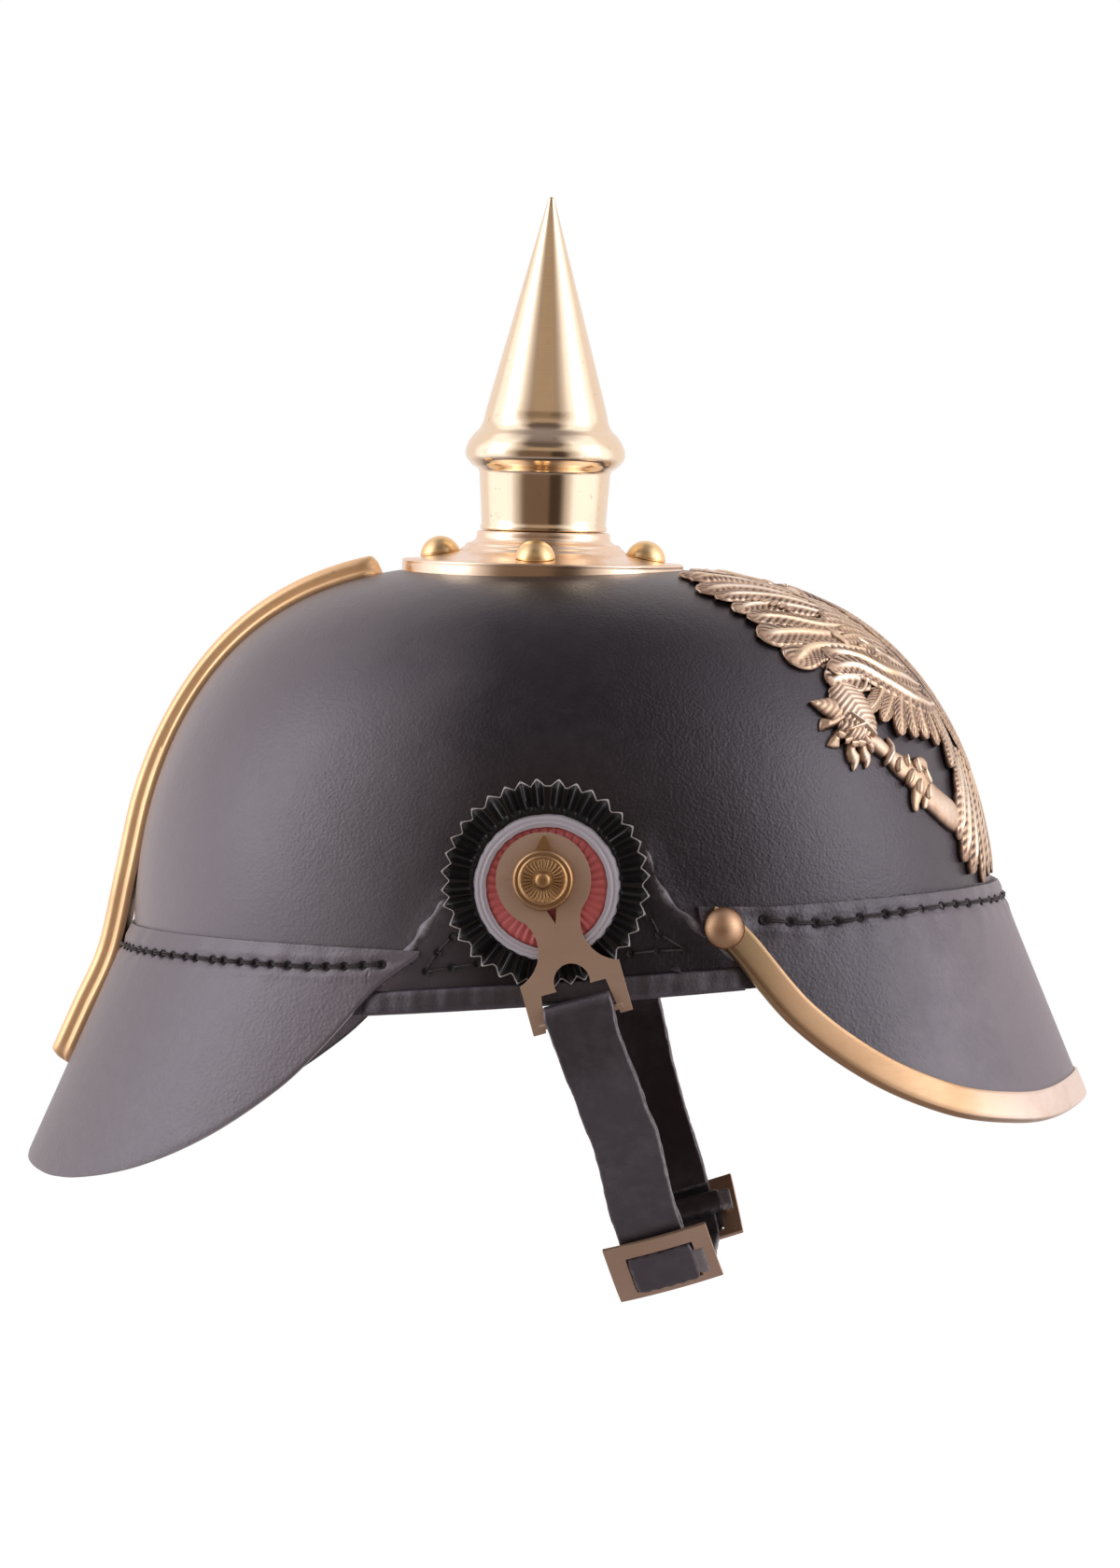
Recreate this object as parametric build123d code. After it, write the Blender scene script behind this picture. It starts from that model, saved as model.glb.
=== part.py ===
from build123d import *
import math
import os

# A spiked leather helmet in the form of the late nineteenth century: a hard leather shell with two
# visors, a screwed spike, a spine, an eagle plate, two cockades and a buckled chinstrap.
# Millimetres. X points to the front, Y to the wearer's left, Z up. The origin is the middle of the
# head opening, at the height of the rim below the side posts.

# Domed shell of hard leather
shell_half_length = 118
shell_half_width = 97
shell_wall = 3
crown_height = 114
dome_rise = 100
dome_fullness = 0.6
dome_steps = (5, 12, 20, 30, 42, 55, 70, 90)
skirt_drop = 30

# Rim line, seen from the side: it climbs to the front, and turns where the visors cover it
rim_slope = 5.4
rear_rim_turn = -58
rear_rim_height = 1
front_rim_turn = 62
front_rim_height = 20
welt_height = 6
welt_thickness = 1.3
welt_rear_end = -47
welt_front_end = 55

# Front visor, skived thin where it lies on the shell
visor_leather = 2.2
skived_edge = 0.8
front_visor_centre_top = 31
front_visor_side_top = 27
front_visor_reach = 144.5
front_visor_reach_height = -28
front_visor_depth = -32
front_visor_middle = 8
front_visor_half_width = 104
front_visor_edge = ((42, 19.5), (50, 14.6), (67.7, -5), (88.5, -19.6), (109.3, -28.5),
                    (126, -31.6), (138, -31.4), (150, -26.5))

# Rear visor
rear_visor_top = 13.3
rear_visor_reach = -144.6
rear_visor_reach_height = -47.5
rear_visor_depth = -52
rear_visor_middle = -18
rear_visor_half_width = 102
rear_visor_edge = ((-31, 13.4), (-42.6, 4.4), (-55.8, -10.8), (-68.2, -23.1), (-87.6, -36.7),
                   (-108.3, -46.5), (-128, -51.6), (-139, -51.6), (-152, -47.5))

# Brass trim folded over the front visor's edge, and its end studs
trim_width = 8.7
trim_sheet = 0.8
trim_stud_x = 48.5
trim_stud_height = 21.3
trim_stud_diameter = 11
trim_stud_rise = 3.6
trim_stud_pin = 2.4

# Brass spine down the back
spine_width = 16
spine_flange = 1.5
spine_rib_width = 8.5
spine_rise = 5.2
spine_start = -52
spine_end_height = -27
spine_prong_diameter = 2
spine_prong_angles = (24, 45, 72)
spine_prong_fold = 8
spine_prong_thickness = 0.8

# Spike and its round base plate
spike_axis_x = -8
base_radius = 38.6
base_rim_height = 114.1
base_rim_thickness = 1.9
base_rim_drop = 1.6
base_rim_round_share = 0.45
base_sheet = 1.2
base_shoulder_radius = 22.8
base_shoulder_height = 117.4
base_bead_radius = 20.8
base_bead_height = 119.6
collar_radius = 18.2
collar_foot_height = 121
seam_height = 123.4
seam_gap = 0.3
neck_foot_radius = 17
neck_top_radius = 18
neck_top_height = 139.7
ring_radius = 21.9
ring_height = 144.7
ring_foot_radius = 20.4
ring_foot_height = 141.4
spike_shoulder_radius = 18.2
spike_shoulder_height = 151
spike_waist_radius = 16.5
spike_waist_height = 156.3
spike_top = 214.8
spike_tip_radius = 0.6
spike_wall = 1.2

# Threaded stud, washer and nut that hold the spike
spike_stud_diameter = 8
spike_plug_thickness = 3
thread_clearance = 0.05
spike_washer_diameter = 26
spike_washer_thickness = 1.6
spike_nut_width = 14
spike_nut_thickness = 6
spike_stud_tail = 4

# Four domed studs round the base plate
base_stud_count = 4
base_stud_ring = 28.3
base_stud_diameter = 10.9
base_stud_rise = 4.7
base_stud_pin = 3
base_stud_washer_diameter = 9
base_stud_washer_thickness = 1
base_stud_tail = 1.5

# Side posts, cockades and the leather patches behind them
post_x = 1.5
post_height = 33.4
post_head_diameter = 15.5
post_head_thickness = 3.2
post_boss_diameter = 4
post_dish_shares = ((1, 0.5), (0.86, 0.85), (0.74, 0.65), (0.34, 0.5))
post_neck_diameter = 8
post_shank_diameter = 4
post_tab_reach = 11.7
post_tab_half_width = 2.5
post_tab_thickness = 0.9
post_tail = 2
post_nut_width = 8
post_nut_thickness = 2.6
patch_leather = 1.5
patch_top_height = 50
patch_foot_height = 10
patch_top_half_width = 14
patch_foot_half_width = 36
cockade_diameter = 54
cockade_sheet = 1
cockade_pleats = 40
cockade_pleat_rise = 1.5
cockade_pleat_depth = 1.2
cockade_hub_radius = 6
white_ring_radius = 19.5
white_ring_width = 3.6
white_ring_rise = 2
red_disc_rise = 1.1

# Flat brass lugs that hang on the posts
lug_sheet = 1.2
lug_clearance = 0.3
lug_ring_radius = 12.5
lug_waist_half_width = 6.1
lug_waist_drop = 16.4
lug_arc_start = 7.1
lug_knee_half_width = 13.5
lug_knee_drop = 25.4
lug_foot_drop = 39
lug_foot_half_width = 10.2
lug_arch_drop = 22.9
lug_arch_half_width = 4.6
lug_slot_drop = 29.3
lug_slot_half_width = 8.8
lug_bar_drop = 37.2
lug_bar_diameter = 1.8

# Chinstrap, seen from the front as it hangs straight down, and its swing forwards at rest
strap_width = 17.6
strap_leather = 1.7
strap_fold_clearance = 0.1
strap_straight_drop = 11
strap_side_bend = 20
strap_side_angle = 38
strap_side_length = 72
strap_low_bend = 9
strap_low_angle = 84
strap_swing = 17

# Friction buckles with a centre bar set back behind the strap
buckle_width = 28.6
buckle_height = 20.6
buckle_sheet = 1.2
buckle_window_width = 21.2
buckle_window_height = 11
buckle_place = 59
buckle_clearance = 0.3
buckle_bar_height = 4
buckle_bar_thickness = 1
buckle_arm = 1.2
sleeve_leather = 1.3
sleeve_front_overhang = 1.7

# Sweatband with lined tongues, laced together at the top
liner_leather = 1.2
liner_gap = 0.3
liner_tongues = 9
liner_band_height = 38
liner_slit = 5
liner_heights_share = (0, 0.16, 0.42, 0.62, 0.8, 0.92, 1)
liner_reach_share = (1, 0.975, 0.91, 0.81, 0.62, 0.4, 0.2)
liner_foot_height = -6
liner_top_height = 88
lace_diameter = 2

# Eagle plate, drawn flat on a plane that leans back, and curved to the shell
eagle_lean = 40
eagle_sheet = 1.4
eagle_gap = 0.1
eagle_wing_root = (9, 16)
eagle_feather_tips = ((27, 62), (36, 57), (44.5, 48.5), (50.5, 39), (54.5, 29), (53.5, 19.5), (42, 9),
                      (30, 1))
eagle_feather_width = 11.5
eagle_body_half_width = 13
eagle_body_half_height = 30
eagle_body_centre = 4
eagle_tail_root = -18
eagle_tail_tips = ((0, -45.5), (10, -45), (20, -43.5))
eagle_tail_width = 9
eagle_claw = (57, 5)
eagle_claw_radius = 5.5
eagle_talons = ((57.5, 18), (63.5, 12.5), (65, 4), (62.5, -4), (56, -8))
eagle_talon_width = 3.4
eagle_leg_root = (40, 8)
eagle_leg_width = 9
eagle_shaft_foot = (22, -42)
eagle_shaft_width = 5
eagle_shaft_knob = (43, -20)
eagle_shaft_knob_radius = 4.6
eagle_neck_top = (0, 40)
eagle_neck_width = 9
eagle_head_centre = (-2, 43)
eagle_head_radius = 6
eagle_beak = (-12, 40)
eagle_beak_width = 3
eagle_crown_centre = (-1, 52)
eagle_crown_radius = 5
eagle_post_place = (26, 30)
eagle_post_diameter = 3
eagle_nut_width = 9
eagle_nut_thickness = 2.4

# One generous length for cuts that pass right through, and a small running gap
through = 300
hair = 0.05


def height_share(angle):
    """How far below the crown a level of the dome lies, as a share of its rise."""
    return 1 - math.cos(math.radians(angle))


def reach_share(angle):
    """How wide the dome is at that level, as a share of its full half-size."""
    return math.sin(math.radians(angle)) ** dome_fullness


def side_reach(height):
    """Width of the dome at a height, as a share of its full half-size."""
    share = min(1, (crown_height - height) / dome_rise)
    return (1 - (1 - share) ** 2) ** (dome_fullness / 2)


def level_oval(half_length, half_width, height, middle=0):
    """A level oval."""
    return Pos(middle, 0, height) * Ellipse(half_length, half_width)


def dome(grow):
    """Solid inside the helmet's outer form, moved outwards by a distance."""
    half_length = shell_half_length + grow
    half_width = shell_half_width + grow
    crown = crown_height + grow
    rise = dome_rise + grow
    foot = crown - rise
    ovals = [level_oval(half_length, half_width, foot - skirt_drop * share) for share in (1, 0.5)]
    for angle in reversed(dome_steps):
        share = reach_share(angle)
        height = crown - rise * height_share(angle)
        ovals.append(level_oval(half_length * share, half_width * share, height))
    return loft(ovals)


def seen_from_side(points):
    """Bar through the whole helmet whose outline is given in X and Z."""
    outline = make_face(Polyline(*points, close=True))
    return extrude(Plane.XZ * outline, amount=through, both=True)


def rim_height(x):
    """Height of the rim at a place along the helmet."""
    return x * math.tan(math.radians(rim_slope))


def under_rim(lift=0):
    """Everything below the rim line, or below a line at a lift above it."""
    return seen_from_side([
        (-through, rear_rim_height + lift),
        (-shell_half_length, rear_rim_height + lift),
        (rear_rim_turn, rim_height(rear_rim_turn) + lift),
        (front_rim_turn, rim_height(front_rim_turn) + lift),
        (shell_half_length, front_rim_height + lift),
        (through, front_rim_height + lift),
        (through, -through),
        (-through, -through),
    ])


def slice_between(rear, front):
    """Block that keeps what lies between two places along the helmet."""
    return Pos((rear + front) / 2, 0, 0) * Box(front - rear, through, through)


def rod(start, direction, radius, length):
    """Round rod from a point along a direction."""
    return extrude(Plane(origin=start, z_dir=direction) * Circle(radius), amount=length)


def both_sides(solid):
    """A solid and its mirror image across the helmet's middle."""
    return [solid, mirror(solid, about=Plane.XZ)]


def flare(top, foot, grow):
    """Solid of a visor's outer form: from the shell's oval at the top to a wider one at its foot."""
    half_length, half_width, height, middle = foot
    upper = level_oval(shell_half_length + skived_edge + grow, shell_half_width + skived_edge + grow, top)
    lower = level_oval(half_length + grow, half_width + grow, height, middle)
    return loft([lower, upper], ruled=True)


def reach_at(start, start_height, reach, reach_height, end_height):
    """Where a straight line through two places gets to at another height."""
    return start + (reach - start) * (end_height - start_height) / (reach_height - start_height)


def front_foot():
    """Oval at the foot of the front visor: half-length, half-width, height and middle."""
    start = shell_half_length + skived_edge
    height = front_visor_depth - trim_sheet
    reach = reach_at(start, front_visor_centre_top, front_visor_reach, front_visor_reach_height, height)
    return reach - front_visor_middle, front_visor_half_width, height, front_visor_middle


def rear_foot():
    """Oval at the foot of the rear visor: half-length, half-width, height and middle."""
    start = -shell_half_length - skived_edge
    reach = reach_at(start, rear_visor_top, rear_visor_reach, rear_visor_reach_height, rear_visor_depth)
    return rear_visor_middle - reach, rear_visor_half_width, rear_visor_depth, rear_visor_middle


def front_flare(grow):
    """Outer form of the front visor, moved outwards by a distance."""
    return flare(front_visor_centre_top, front_foot(), grow)


def rear_flare(grow):
    """Outer form of the rear visor, moved outwards by a distance."""
    return flare(rear_visor_top, rear_foot(), grow)


def edge_side_view(edge, top_points):
    """Side outline of a visor: a smooth free edge closed by straight lines above it."""
    return make_face([Spline(*edge), Polyline(edge[-1], *top_points, edge[0])])


def inner_edge(edge, inset):
    """A visor's free edge moved into the leather by an inset."""
    line = Spline(*edge)
    points = []
    for index in range(len(edge)):
        share = index / (len(edge) - 1)
        along = line % share
        points.append(line @ share + Vector(-along.Y, along.X) * inset)
    return Spline(*points)


def front_visor_side():
    """Front visor's leather seen from the side, with its edge inside the trim's fold."""
    tall = front_visor_centre_top + 3 * trim_width
    line = inner_edge(front_visor_edge, trim_sheet)
    start = line @ 0
    end = line @ 1
    face = make_face([line, Polyline(end, (end.X, tall), (start.X, tall), start)])
    return extrude(Plane.XZ * face, amount=through, both=True)


def front_visor_cap():
    """Everything below the front visor's top line, which climbs to the front."""
    side_end = trim_stud_x + trim_stud_diameter
    return seen_from_side([
        (0, front_visor_side_top),
        (side_end, front_visor_side_top),
        (shell_half_length, front_visor_centre_top),
        (through, front_visor_centre_top),
        (through, -through),
        (0, -through),
    ])


def make_front_visor(core):
    """Front visor: flared leather, cut to its edge and to the shell that it is sewn to."""
    leather = front_flare(0) - front_flare(-visor_leather) - core
    leather = leather & front_visor_cap() & front_visor_side()
    return largest(leather)


def make_rear_visor(core):
    """Rear visor: flared leather with its edge free."""
    leather = rear_flare(0) - rear_flare(-visor_leather) - core
    ends = [(rear_visor_edge[-1][0], rear_visor_top), (rear_visor_edge[0][0], rear_visor_top)]
    side = extrude(Plane.XZ * edge_side_view(rear_visor_edge, ends), amount=through, both=True)
    return largest(leather & side)


def make_front_trim(core, visor):
    """Brass channel folded over the front visor's edge, cut square under the two studs."""
    channel = front_flare(trim_sheet) - front_flare(-visor_leather - trim_sheet) - core
    outer = Spline(*front_visor_edge)
    inner = inner_edge(front_visor_edge, trim_width)
    band = make_face([outer, Line(outer @ 1, inner @ 1), inner, Line(inner @ 0, outer @ 0)])
    return largest((channel & extrude(Plane.XZ * band, amount=through, both=True)) - visor)


def largest(shape):
    """The largest solid of a cut, without its thin offcuts."""
    return max(shape.solids(), key=lambda piece: piece.volume)


def oval_side(x, half_length, half_width, middle=0):
    """How far out to the side an oval lies at a place along its length."""
    return half_width * math.sqrt(1 - ((x - middle) / half_length) ** 2)


def domed_stud(diameter, rise, pin_diameter, pin_length):
    """Stud with a domed head above its seat and a pin below it."""
    radius = diameter / 2
    ball = (radius ** 2 + rise ** 2) / (2 * rise)
    half_turn = math.asin(radius / ball) / 2
    middle = (ball * math.sin(half_turn), rise - ball + ball * math.cos(half_turn))
    arc = ThreePointArc((radius, 0), middle, (0, rise))
    head = revolve(Plane.XZ * make_face([arc, Polyline((0, rise), (0, 0), (radius, 0))]), axis=Axis.Z)
    return head + rod((0, 0, 0), (0, 0, -1), pin_diameter / 2, pin_length)


def trim_stud_plane():
    """Seat of the right trim stud on the outside of the trim, facing outwards."""
    half_length, half_width, height, middle = front_foot()
    fall = front_visor_centre_top - height
    drop = front_visor_centre_top - trim_stud_height
    lengthening = (half_length - shell_half_length - skived_edge) / fall
    widening = (half_width - shell_half_width - skived_edge) / fall
    length = shell_half_length + skived_edge + drop * lengthening + trim_sheet
    width = shell_half_width + skived_edge + drop * widening + trim_sheet
    ahead = trim_stud_x - drop * middle / fall
    side = oval_side(ahead, length, width)
    upwards = ahead * middle / fall / length ** 2
    upwards += ahead ** 2 * lengthening / length ** 3 + side ** 2 * widening / width ** 3
    outwards = (ahead / length ** 2, -side / width ** 2, upwards)
    return Plane(origin=(trim_stud_x, -side - hair, trim_stud_height), z_dir=outwards)


def spike_places(radius, count):
    """Places evenly round the spike's axis."""
    axis = Pos(spike_axis_x, 0, 0)
    return [axis * Rot(0, 0, 360 / count * turn) * Pos(radius, 0, 0) for turn in range(count)]


def turned(outline):
    """Solid turned about the spike's axis from an outline in radius and height."""
    return Pos(spike_axis_x, 0, 0) * revolve(Plane.XZ * outline, axis=Axis.Z)


def make_base_plate(core):
    """Dished round plate with a rolled rim, a bead and a collar under the spike."""
    rim_low = base_rim_height - base_rim_thickness / 2
    rim_high = base_rim_height + base_rim_thickness / 2
    rim_inside = base_radius - base_rim_thickness
    collar_top = seam_height - seam_gap
    outer = [
        (base_radius, rim_low - base_rim_drop),
        (base_radius, rim_high),
        (rim_inside, rim_high),
        (base_shoulder_radius, base_shoulder_height),
        (base_bead_radius, base_bead_height),
        (collar_radius, collar_foot_height),
        (collar_radius, collar_top),
    ]
    inner = [
        (collar_radius - base_sheet, collar_top),
        (collar_radius - base_sheet, collar_foot_height - base_sheet),
        (base_bead_radius - base_sheet, base_bead_height - base_sheet),
        (base_shoulder_radius - base_sheet, base_shoulder_height - base_sheet),
        (rim_inside, rim_high - base_sheet),
        (rim_inside, rim_low - base_rim_drop),
    ]
    plate = turned(make_face(Polyline(*outer, *inner, close=True)))
    rims = plate.edges().filter_by(GeomType.CIRCLE).group_by(SortBy.RADIUS)[-1]
    plate = fillet(rims.group_by(Axis.Z)[-1], base_rim_thickness * base_rim_round_share)
    return plate - core


def base_slope():
    """Angle at which the dished plate falls towards its rim."""
    run = base_radius - base_rim_thickness - base_shoulder_radius
    fall = base_shoulder_height - base_rim_height - base_rim_thickness / 2
    return math.degrees(math.atan2(fall, run)), fall / run


def base_stud_seats():
    """Places of the four studs on the dished plate, square to its slope."""
    angle, slope = base_slope()
    height = base_shoulder_height - slope * (base_stud_ring - base_shoulder_radius)
    tilt = Pos(0, 0, height + hair) * Rot(0, angle, 0)
    return [place * tilt for place in spike_places(base_stud_ring, base_stud_count)]


def flat_inside():
    """Height of the flat inside of the crown."""
    rise = dome_rise - shell_wall
    return crown_height - shell_wall - rise * height_share(dome_steps[0])


def make_spike():
    """Hollow spike: a plain neck, a bulging ring and a long cone."""
    start = (neck_foot_radius, seam_height)
    tip = (spike_tip_radius, spike_top - spike_tip_radius)
    cone_run = (tip[0] - spike_waist_radius, tip[1] - spike_waist_height)
    ring = Spline(
        (ring_foot_radius, ring_foot_height),
        (ring_radius, ring_height),
        (spike_shoulder_radius, spike_shoulder_height),
        (spike_waist_radius, spike_waist_height),
        tangents=((1, 1), cone_run),
    )
    outline = make_face([
        Polyline(start, (neck_top_radius, neck_top_height), (ring_foot_radius, ring_foot_height)),
        ring,
        Polyline((spike_waist_radius, spike_waist_height), tip, (0, spike_top), (0, seam_height), start),
    ])
    bore = neck_foot_radius - spike_wall
    hollow_top = spike_top - spike_waist_height
    hollow = make_face(Polyline(
        (0, seam_height), (bore, seam_height), (bore, ring_height),
        (0, ring_height + hollow_top / 2), close=True))
    return turned(outline) - turned(hollow)


def make_spike_stud():
    """Plug pressed into the spike's neck, with a threaded stud down through the crown."""
    bore = neck_foot_radius - spike_wall
    foot = flat_inside() - spike_washer_thickness - spike_nut_thickness - spike_stud_tail
    plug = Pos(spike_axis_x, 0, seam_height) * extrude(Circle(bore), amount=spike_plug_thickness)
    return plug + rod((spike_axis_x, 0, foot), (0, 0, 1), spike_stud_diameter / 2, seam_height - foot)


def make_spike_washer():
    """Washer under the crown."""
    ring = Circle(spike_washer_diameter / 2) - Circle(spike_stud_diameter / 2 + seam_gap)
    return Pos(spike_axis_x, 0, flat_inside() - hair - spike_washer_thickness) * extrude(
        ring, amount=spike_washer_thickness)


def make_spike_nut():
    """Hexagon nut on the stud."""
    profile = RegularPolygon(spike_nut_width / 2, 6, major_radius=False)
    profile = profile - Circle(spike_stud_diameter / 2 + thread_clearance)
    low = flat_inside() - hair - spike_washer_thickness - spike_nut_thickness
    return Pos(spike_axis_x, 0, low) * extrude(profile, amount=spike_nut_thickness)


def back_point(angle):
    """A point on the middle of the shell's back."""
    return -shell_half_length * reach_share(angle), crown_height - dome_rise * height_share(angle)


def spine_line():
    """Line down the middle of the shell's back and of the rear visor."""
    angles = [angle for angle in dome_steps if back_point(angle)[0] < spine_start and angle < dome_steps[-1]]
    start_angle = math.degrees(math.asin((-spine_start / shell_half_length) ** (1 / dome_fullness)))
    upper = [back_point(angle) for angle in (start_angle, *angles)]
    foot_half_length, _, foot_height, middle = rear_foot()
    seat = -shell_half_length - skived_edge
    heights = (rear_visor_top + spine_width / 2, 0, spine_end_height)
    lower = [(-shell_half_length, heights[0])]
    for height in heights[1:]:
        reach = reach_at(seat, rear_visor_top, middle - foot_half_length, foot_height, height)
        lower.append((reach, height))
    return Plane.XZ * Spline(*upper, *lower)


def make_spine(core):
    """Brass spine: a flat flange with a round rib, bent down the back."""
    line = spine_line()
    section = Plane(origin=line @ 0, x_dir=(0, -1, 0), z_dir=line % 0)
    flange = RectangleRounded(spine_width, 2 * spine_flange, spine_flange / 2)
    rib = Ellipse(spine_rib_width / 2, spine_rise) & Pos(0, (spine_rise - spine_flange) / 2) * Rectangle(
        spine_width, spine_rise + spine_flange)
    bar = sweep(section * (flange + rib), path=line)
    return largest(bar - core - rear_flare(0))


def make_spine_prongs(skins):
    """Prongs of the spine, through the shell and folded flat inside."""
    prongs = []
    for angle in spine_prong_angles:
        x, height = back_point(angle)
        lean = Rot(0, angle - 90, 0)
        pin = Pos(x, 0, height) * lean * Cylinder(spine_prong_diameter / 2, through)
        fold = Pos(x, 0, height) * lean * Box(spine_prong_diameter, spine_prong_fold, through)
        near = Pos(x, 0, height) * Sphere(spine_prong_fold * 2)
        prong = (pin & skins["core"]) - skins["prong_inside"]
        prong = prong + ((fold & skins["inside"]) - skins["prong_inside"])
        prongs.append(prong & near)
    return prongs


def side_surface(x, height, grow=0):
    """How far out the shell's side lies at a place."""
    reach = side_reach(height)
    return oval_side(x, (shell_half_length + grow) * reach, (shell_half_width + grow) * reach)


def on_right_side(depth):
    """Plane facing out to the right on the post's axis, at a depth outside the shell."""
    side = side_surface(post_x, post_height)
    return Plane(origin=(post_x, -side - depth, post_height), x_dir=(1, 0, 0), z_dir=(0, -1, 0))


def cockade_depths():
    """Depths of the cockade's disc, centre and lug outside the shell."""
    disc = cockade_pleat_depth
    centre = disc + cockade_sheet
    lug = centre + white_ring_rise + lug_clearance
    return disc, centre, lug, lug + lug_sheet + lug_clearance


def make_cockade_ring():
    """Outer disc of the cockade with its pleats, in its own plane."""
    radius = cockade_diameter / 2
    root = white_ring_radius + hair
    pitch = 2 * math.pi / cockade_pleats
    flat = Circle(radius - cockade_pleat_rise) - Circle(cockade_hub_radius + hair)
    disc = extrude(flat, amount=cockade_sheet)
    half_root = root * pitch / 4
    half_edge = radius * pitch / 4
    ridge = loft([
        Plane(origin=(root, 0, 0), x_dir=(0, 1, 0), z_dir=(1, 0, 0)) * make_face(Polyline(
            (-half_root, 0), (half_root, 0), (0, cockade_sheet + hair), close=True)),
        Plane(origin=(radius, 0, 0), x_dir=(0, 1, 0), z_dir=(1, 0, 0)) * make_face(Polyline(
            (-half_edge, 0), (half_edge, 0), (0, cockade_sheet + cockade_pleat_rise), close=True)),
    ], ruled=True)
    ridges = [Rot(0, 0, 360 / cockade_pleats * turn) * ridge for turn in range(cockade_pleats)]
    return disc.fuse(*ridges)


def make_cockade_centre():
    """White ring and red centre of the cockade, with the hub that stands it off the shell."""
    inner = white_ring_radius - white_ring_width
    crest = (inner + white_ring_radius) / 2
    bore = post_shank_diameter / 2 + hair
    back = -cockade_sheet - cockade_pleat_depth + hair
    outline = make_face([
        Polyline((bore, back), (bore, red_disc_rise), (inner, red_disc_rise)),
        ThreePointArc((inner, red_disc_rise), (crest, white_ring_rise), (white_ring_radius, 0)),
        Polyline((white_ring_radius, 0), (cockade_hub_radius, 0), (cockade_hub_radius, back), (bore, back)),
    ])
    return revolve(Plane.XZ * outline, axis=Axis.Z)


def post_tab(grow=0):
    """Pointed tab of the post, or the notch that it passes."""
    base = post_head_diameter / 4
    return make_face(Polyline(
        (-post_tab_half_width - grow, 0),
        (-post_tab_half_width - grow, base),
        (0, post_tab_reach + grow),
        (post_tab_half_width + grow, base),
        (post_tab_half_width + grow, 0),
        close=True,
    ))


def make_post(head_depth):
    """Side post: a dished head with a boss and a tab, a neck for the lug, and a long shank."""
    radius = post_head_diameter / 2
    neck = post_neck_diameter / 2
    shank = post_shank_diameter / 2
    boss = post_boss_diameter / 2
    inside = shell_wall + patch_leather + post_nut_thickness + post_tail + hair
    neck_start = -lug_sheet - 2 * lug_clearance - white_ring_rise + red_disc_rise + hair
    outline = make_face(Polyline(
        (0, -head_depth - inside),
        (shank, -head_depth - inside),
        (shank, neck_start),
        (neck, neck_start),
        (neck, 0),
        (radius, 0),
        *[(radius * across, post_head_thickness * up) for across, up in post_dish_shares],
        (boss, post_head_thickness),
        (0, post_head_thickness),
        close=True,
    ))
    return revolve(Plane.XZ * outline, axis=Axis.Z) + extrude(post_tab(), amount=post_tab_thickness)


def make_post_nut():
    """Square nut inside the shell."""
    profile = Rectangle(post_nut_width, post_nut_width) - Circle(post_shank_diameter / 2 + thread_clearance)
    return extrude(profile, amount=-post_nut_thickness)


def make_lug():
    """Flat brass lug: a ring, a waist and a fork that holds the strap's bar."""
    arc_x = math.sqrt(lug_ring_radius ** 2 - lug_arc_start ** 2)
    leg_inner = lug_foot_half_width
    diagonal = math.sqrt(0.5)
    right = [
        ThreePointArc((arc_x, -lug_arc_start), (lug_waist_half_width, -lug_waist_drop),
                      (lug_knee_half_width, -lug_knee_drop)),
        Polyline(
            (lug_knee_half_width, -lug_knee_drop),
            (lug_knee_half_width, -lug_foot_drop),
            (leg_inner, -lug_foot_drop),
            (lug_slot_half_width, -lug_slot_drop),
            (lug_arch_half_width, -lug_slot_drop),
        ),
        ThreePointArc(
            (lug_arch_half_width, -lug_slot_drop),
            (lug_arch_half_width * diagonal, -lug_arch_drop - lug_arch_half_width * (1 - diagonal)),
            (0, -lug_arch_drop),
        ),
        Polyline((0, -lug_arch_drop), (0, 0), (arc_x, -lug_arc_start)),
    ]
    half = make_face(right)
    hole = Circle(post_neck_diameter / 2 + 2 * hair) + Rot(0, 0, 180) * post_tab(lug_clearance)
    flat = Circle(lug_ring_radius) + half + mirror(half, about=Plane.YZ) - hole
    plate = extrude(flat, amount=lug_sheet)
    bar = Pos(-leg_inner - lug_sheet, -lug_bar_drop, lug_sheet / 2) * rod(
        (0, 0, 0), (1, 0, 0), lug_bar_diameter / 2, 2 * (leg_inner + lug_sheet))
    return plate + bar


def fold_radius():
    """Distance from the lug's bar to the middle of the leather folded over it."""
    return (lug_bar_diameter + strap_leather) / 2 + strap_fold_clearance


def lug_side():
    """How far out the middle of the lug's sheet hangs."""
    return side_surface(post_x, post_height) + cockade_depths()[2] + lug_sheet / 2


def strap_line(offset_out, length):
    """Right half of a ply seen from the front, an offset outside the line under the lug's bar."""
    start = (-lug_side() - offset_out, -lug_bar_drop)
    straight = Line(start, (start[0], start[1] - strap_straight_drop))
    bend = JernArc(straight @ 1, straight % 1, strap_side_bend + offset_out, strap_side_angle)
    side = Line(bend @ 1, bend @ 1 + (bend % 1) * length)
    return straight, bend, side


def hung(solid):
    """A solid drawn about the posts' axis, hung there at the strap's swing."""
    return Pos(post_x, 0, post_height) * Rot(0, -strap_swing, 0) * solid


def leather_ply(edges):
    """Strap of the full width along a line seen from the front."""
    face = Plane.YZ * trace(Wire(edges), line_width=strap_leather)
    return extrude(face, amount=strap_width / 2, both=True)


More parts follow.
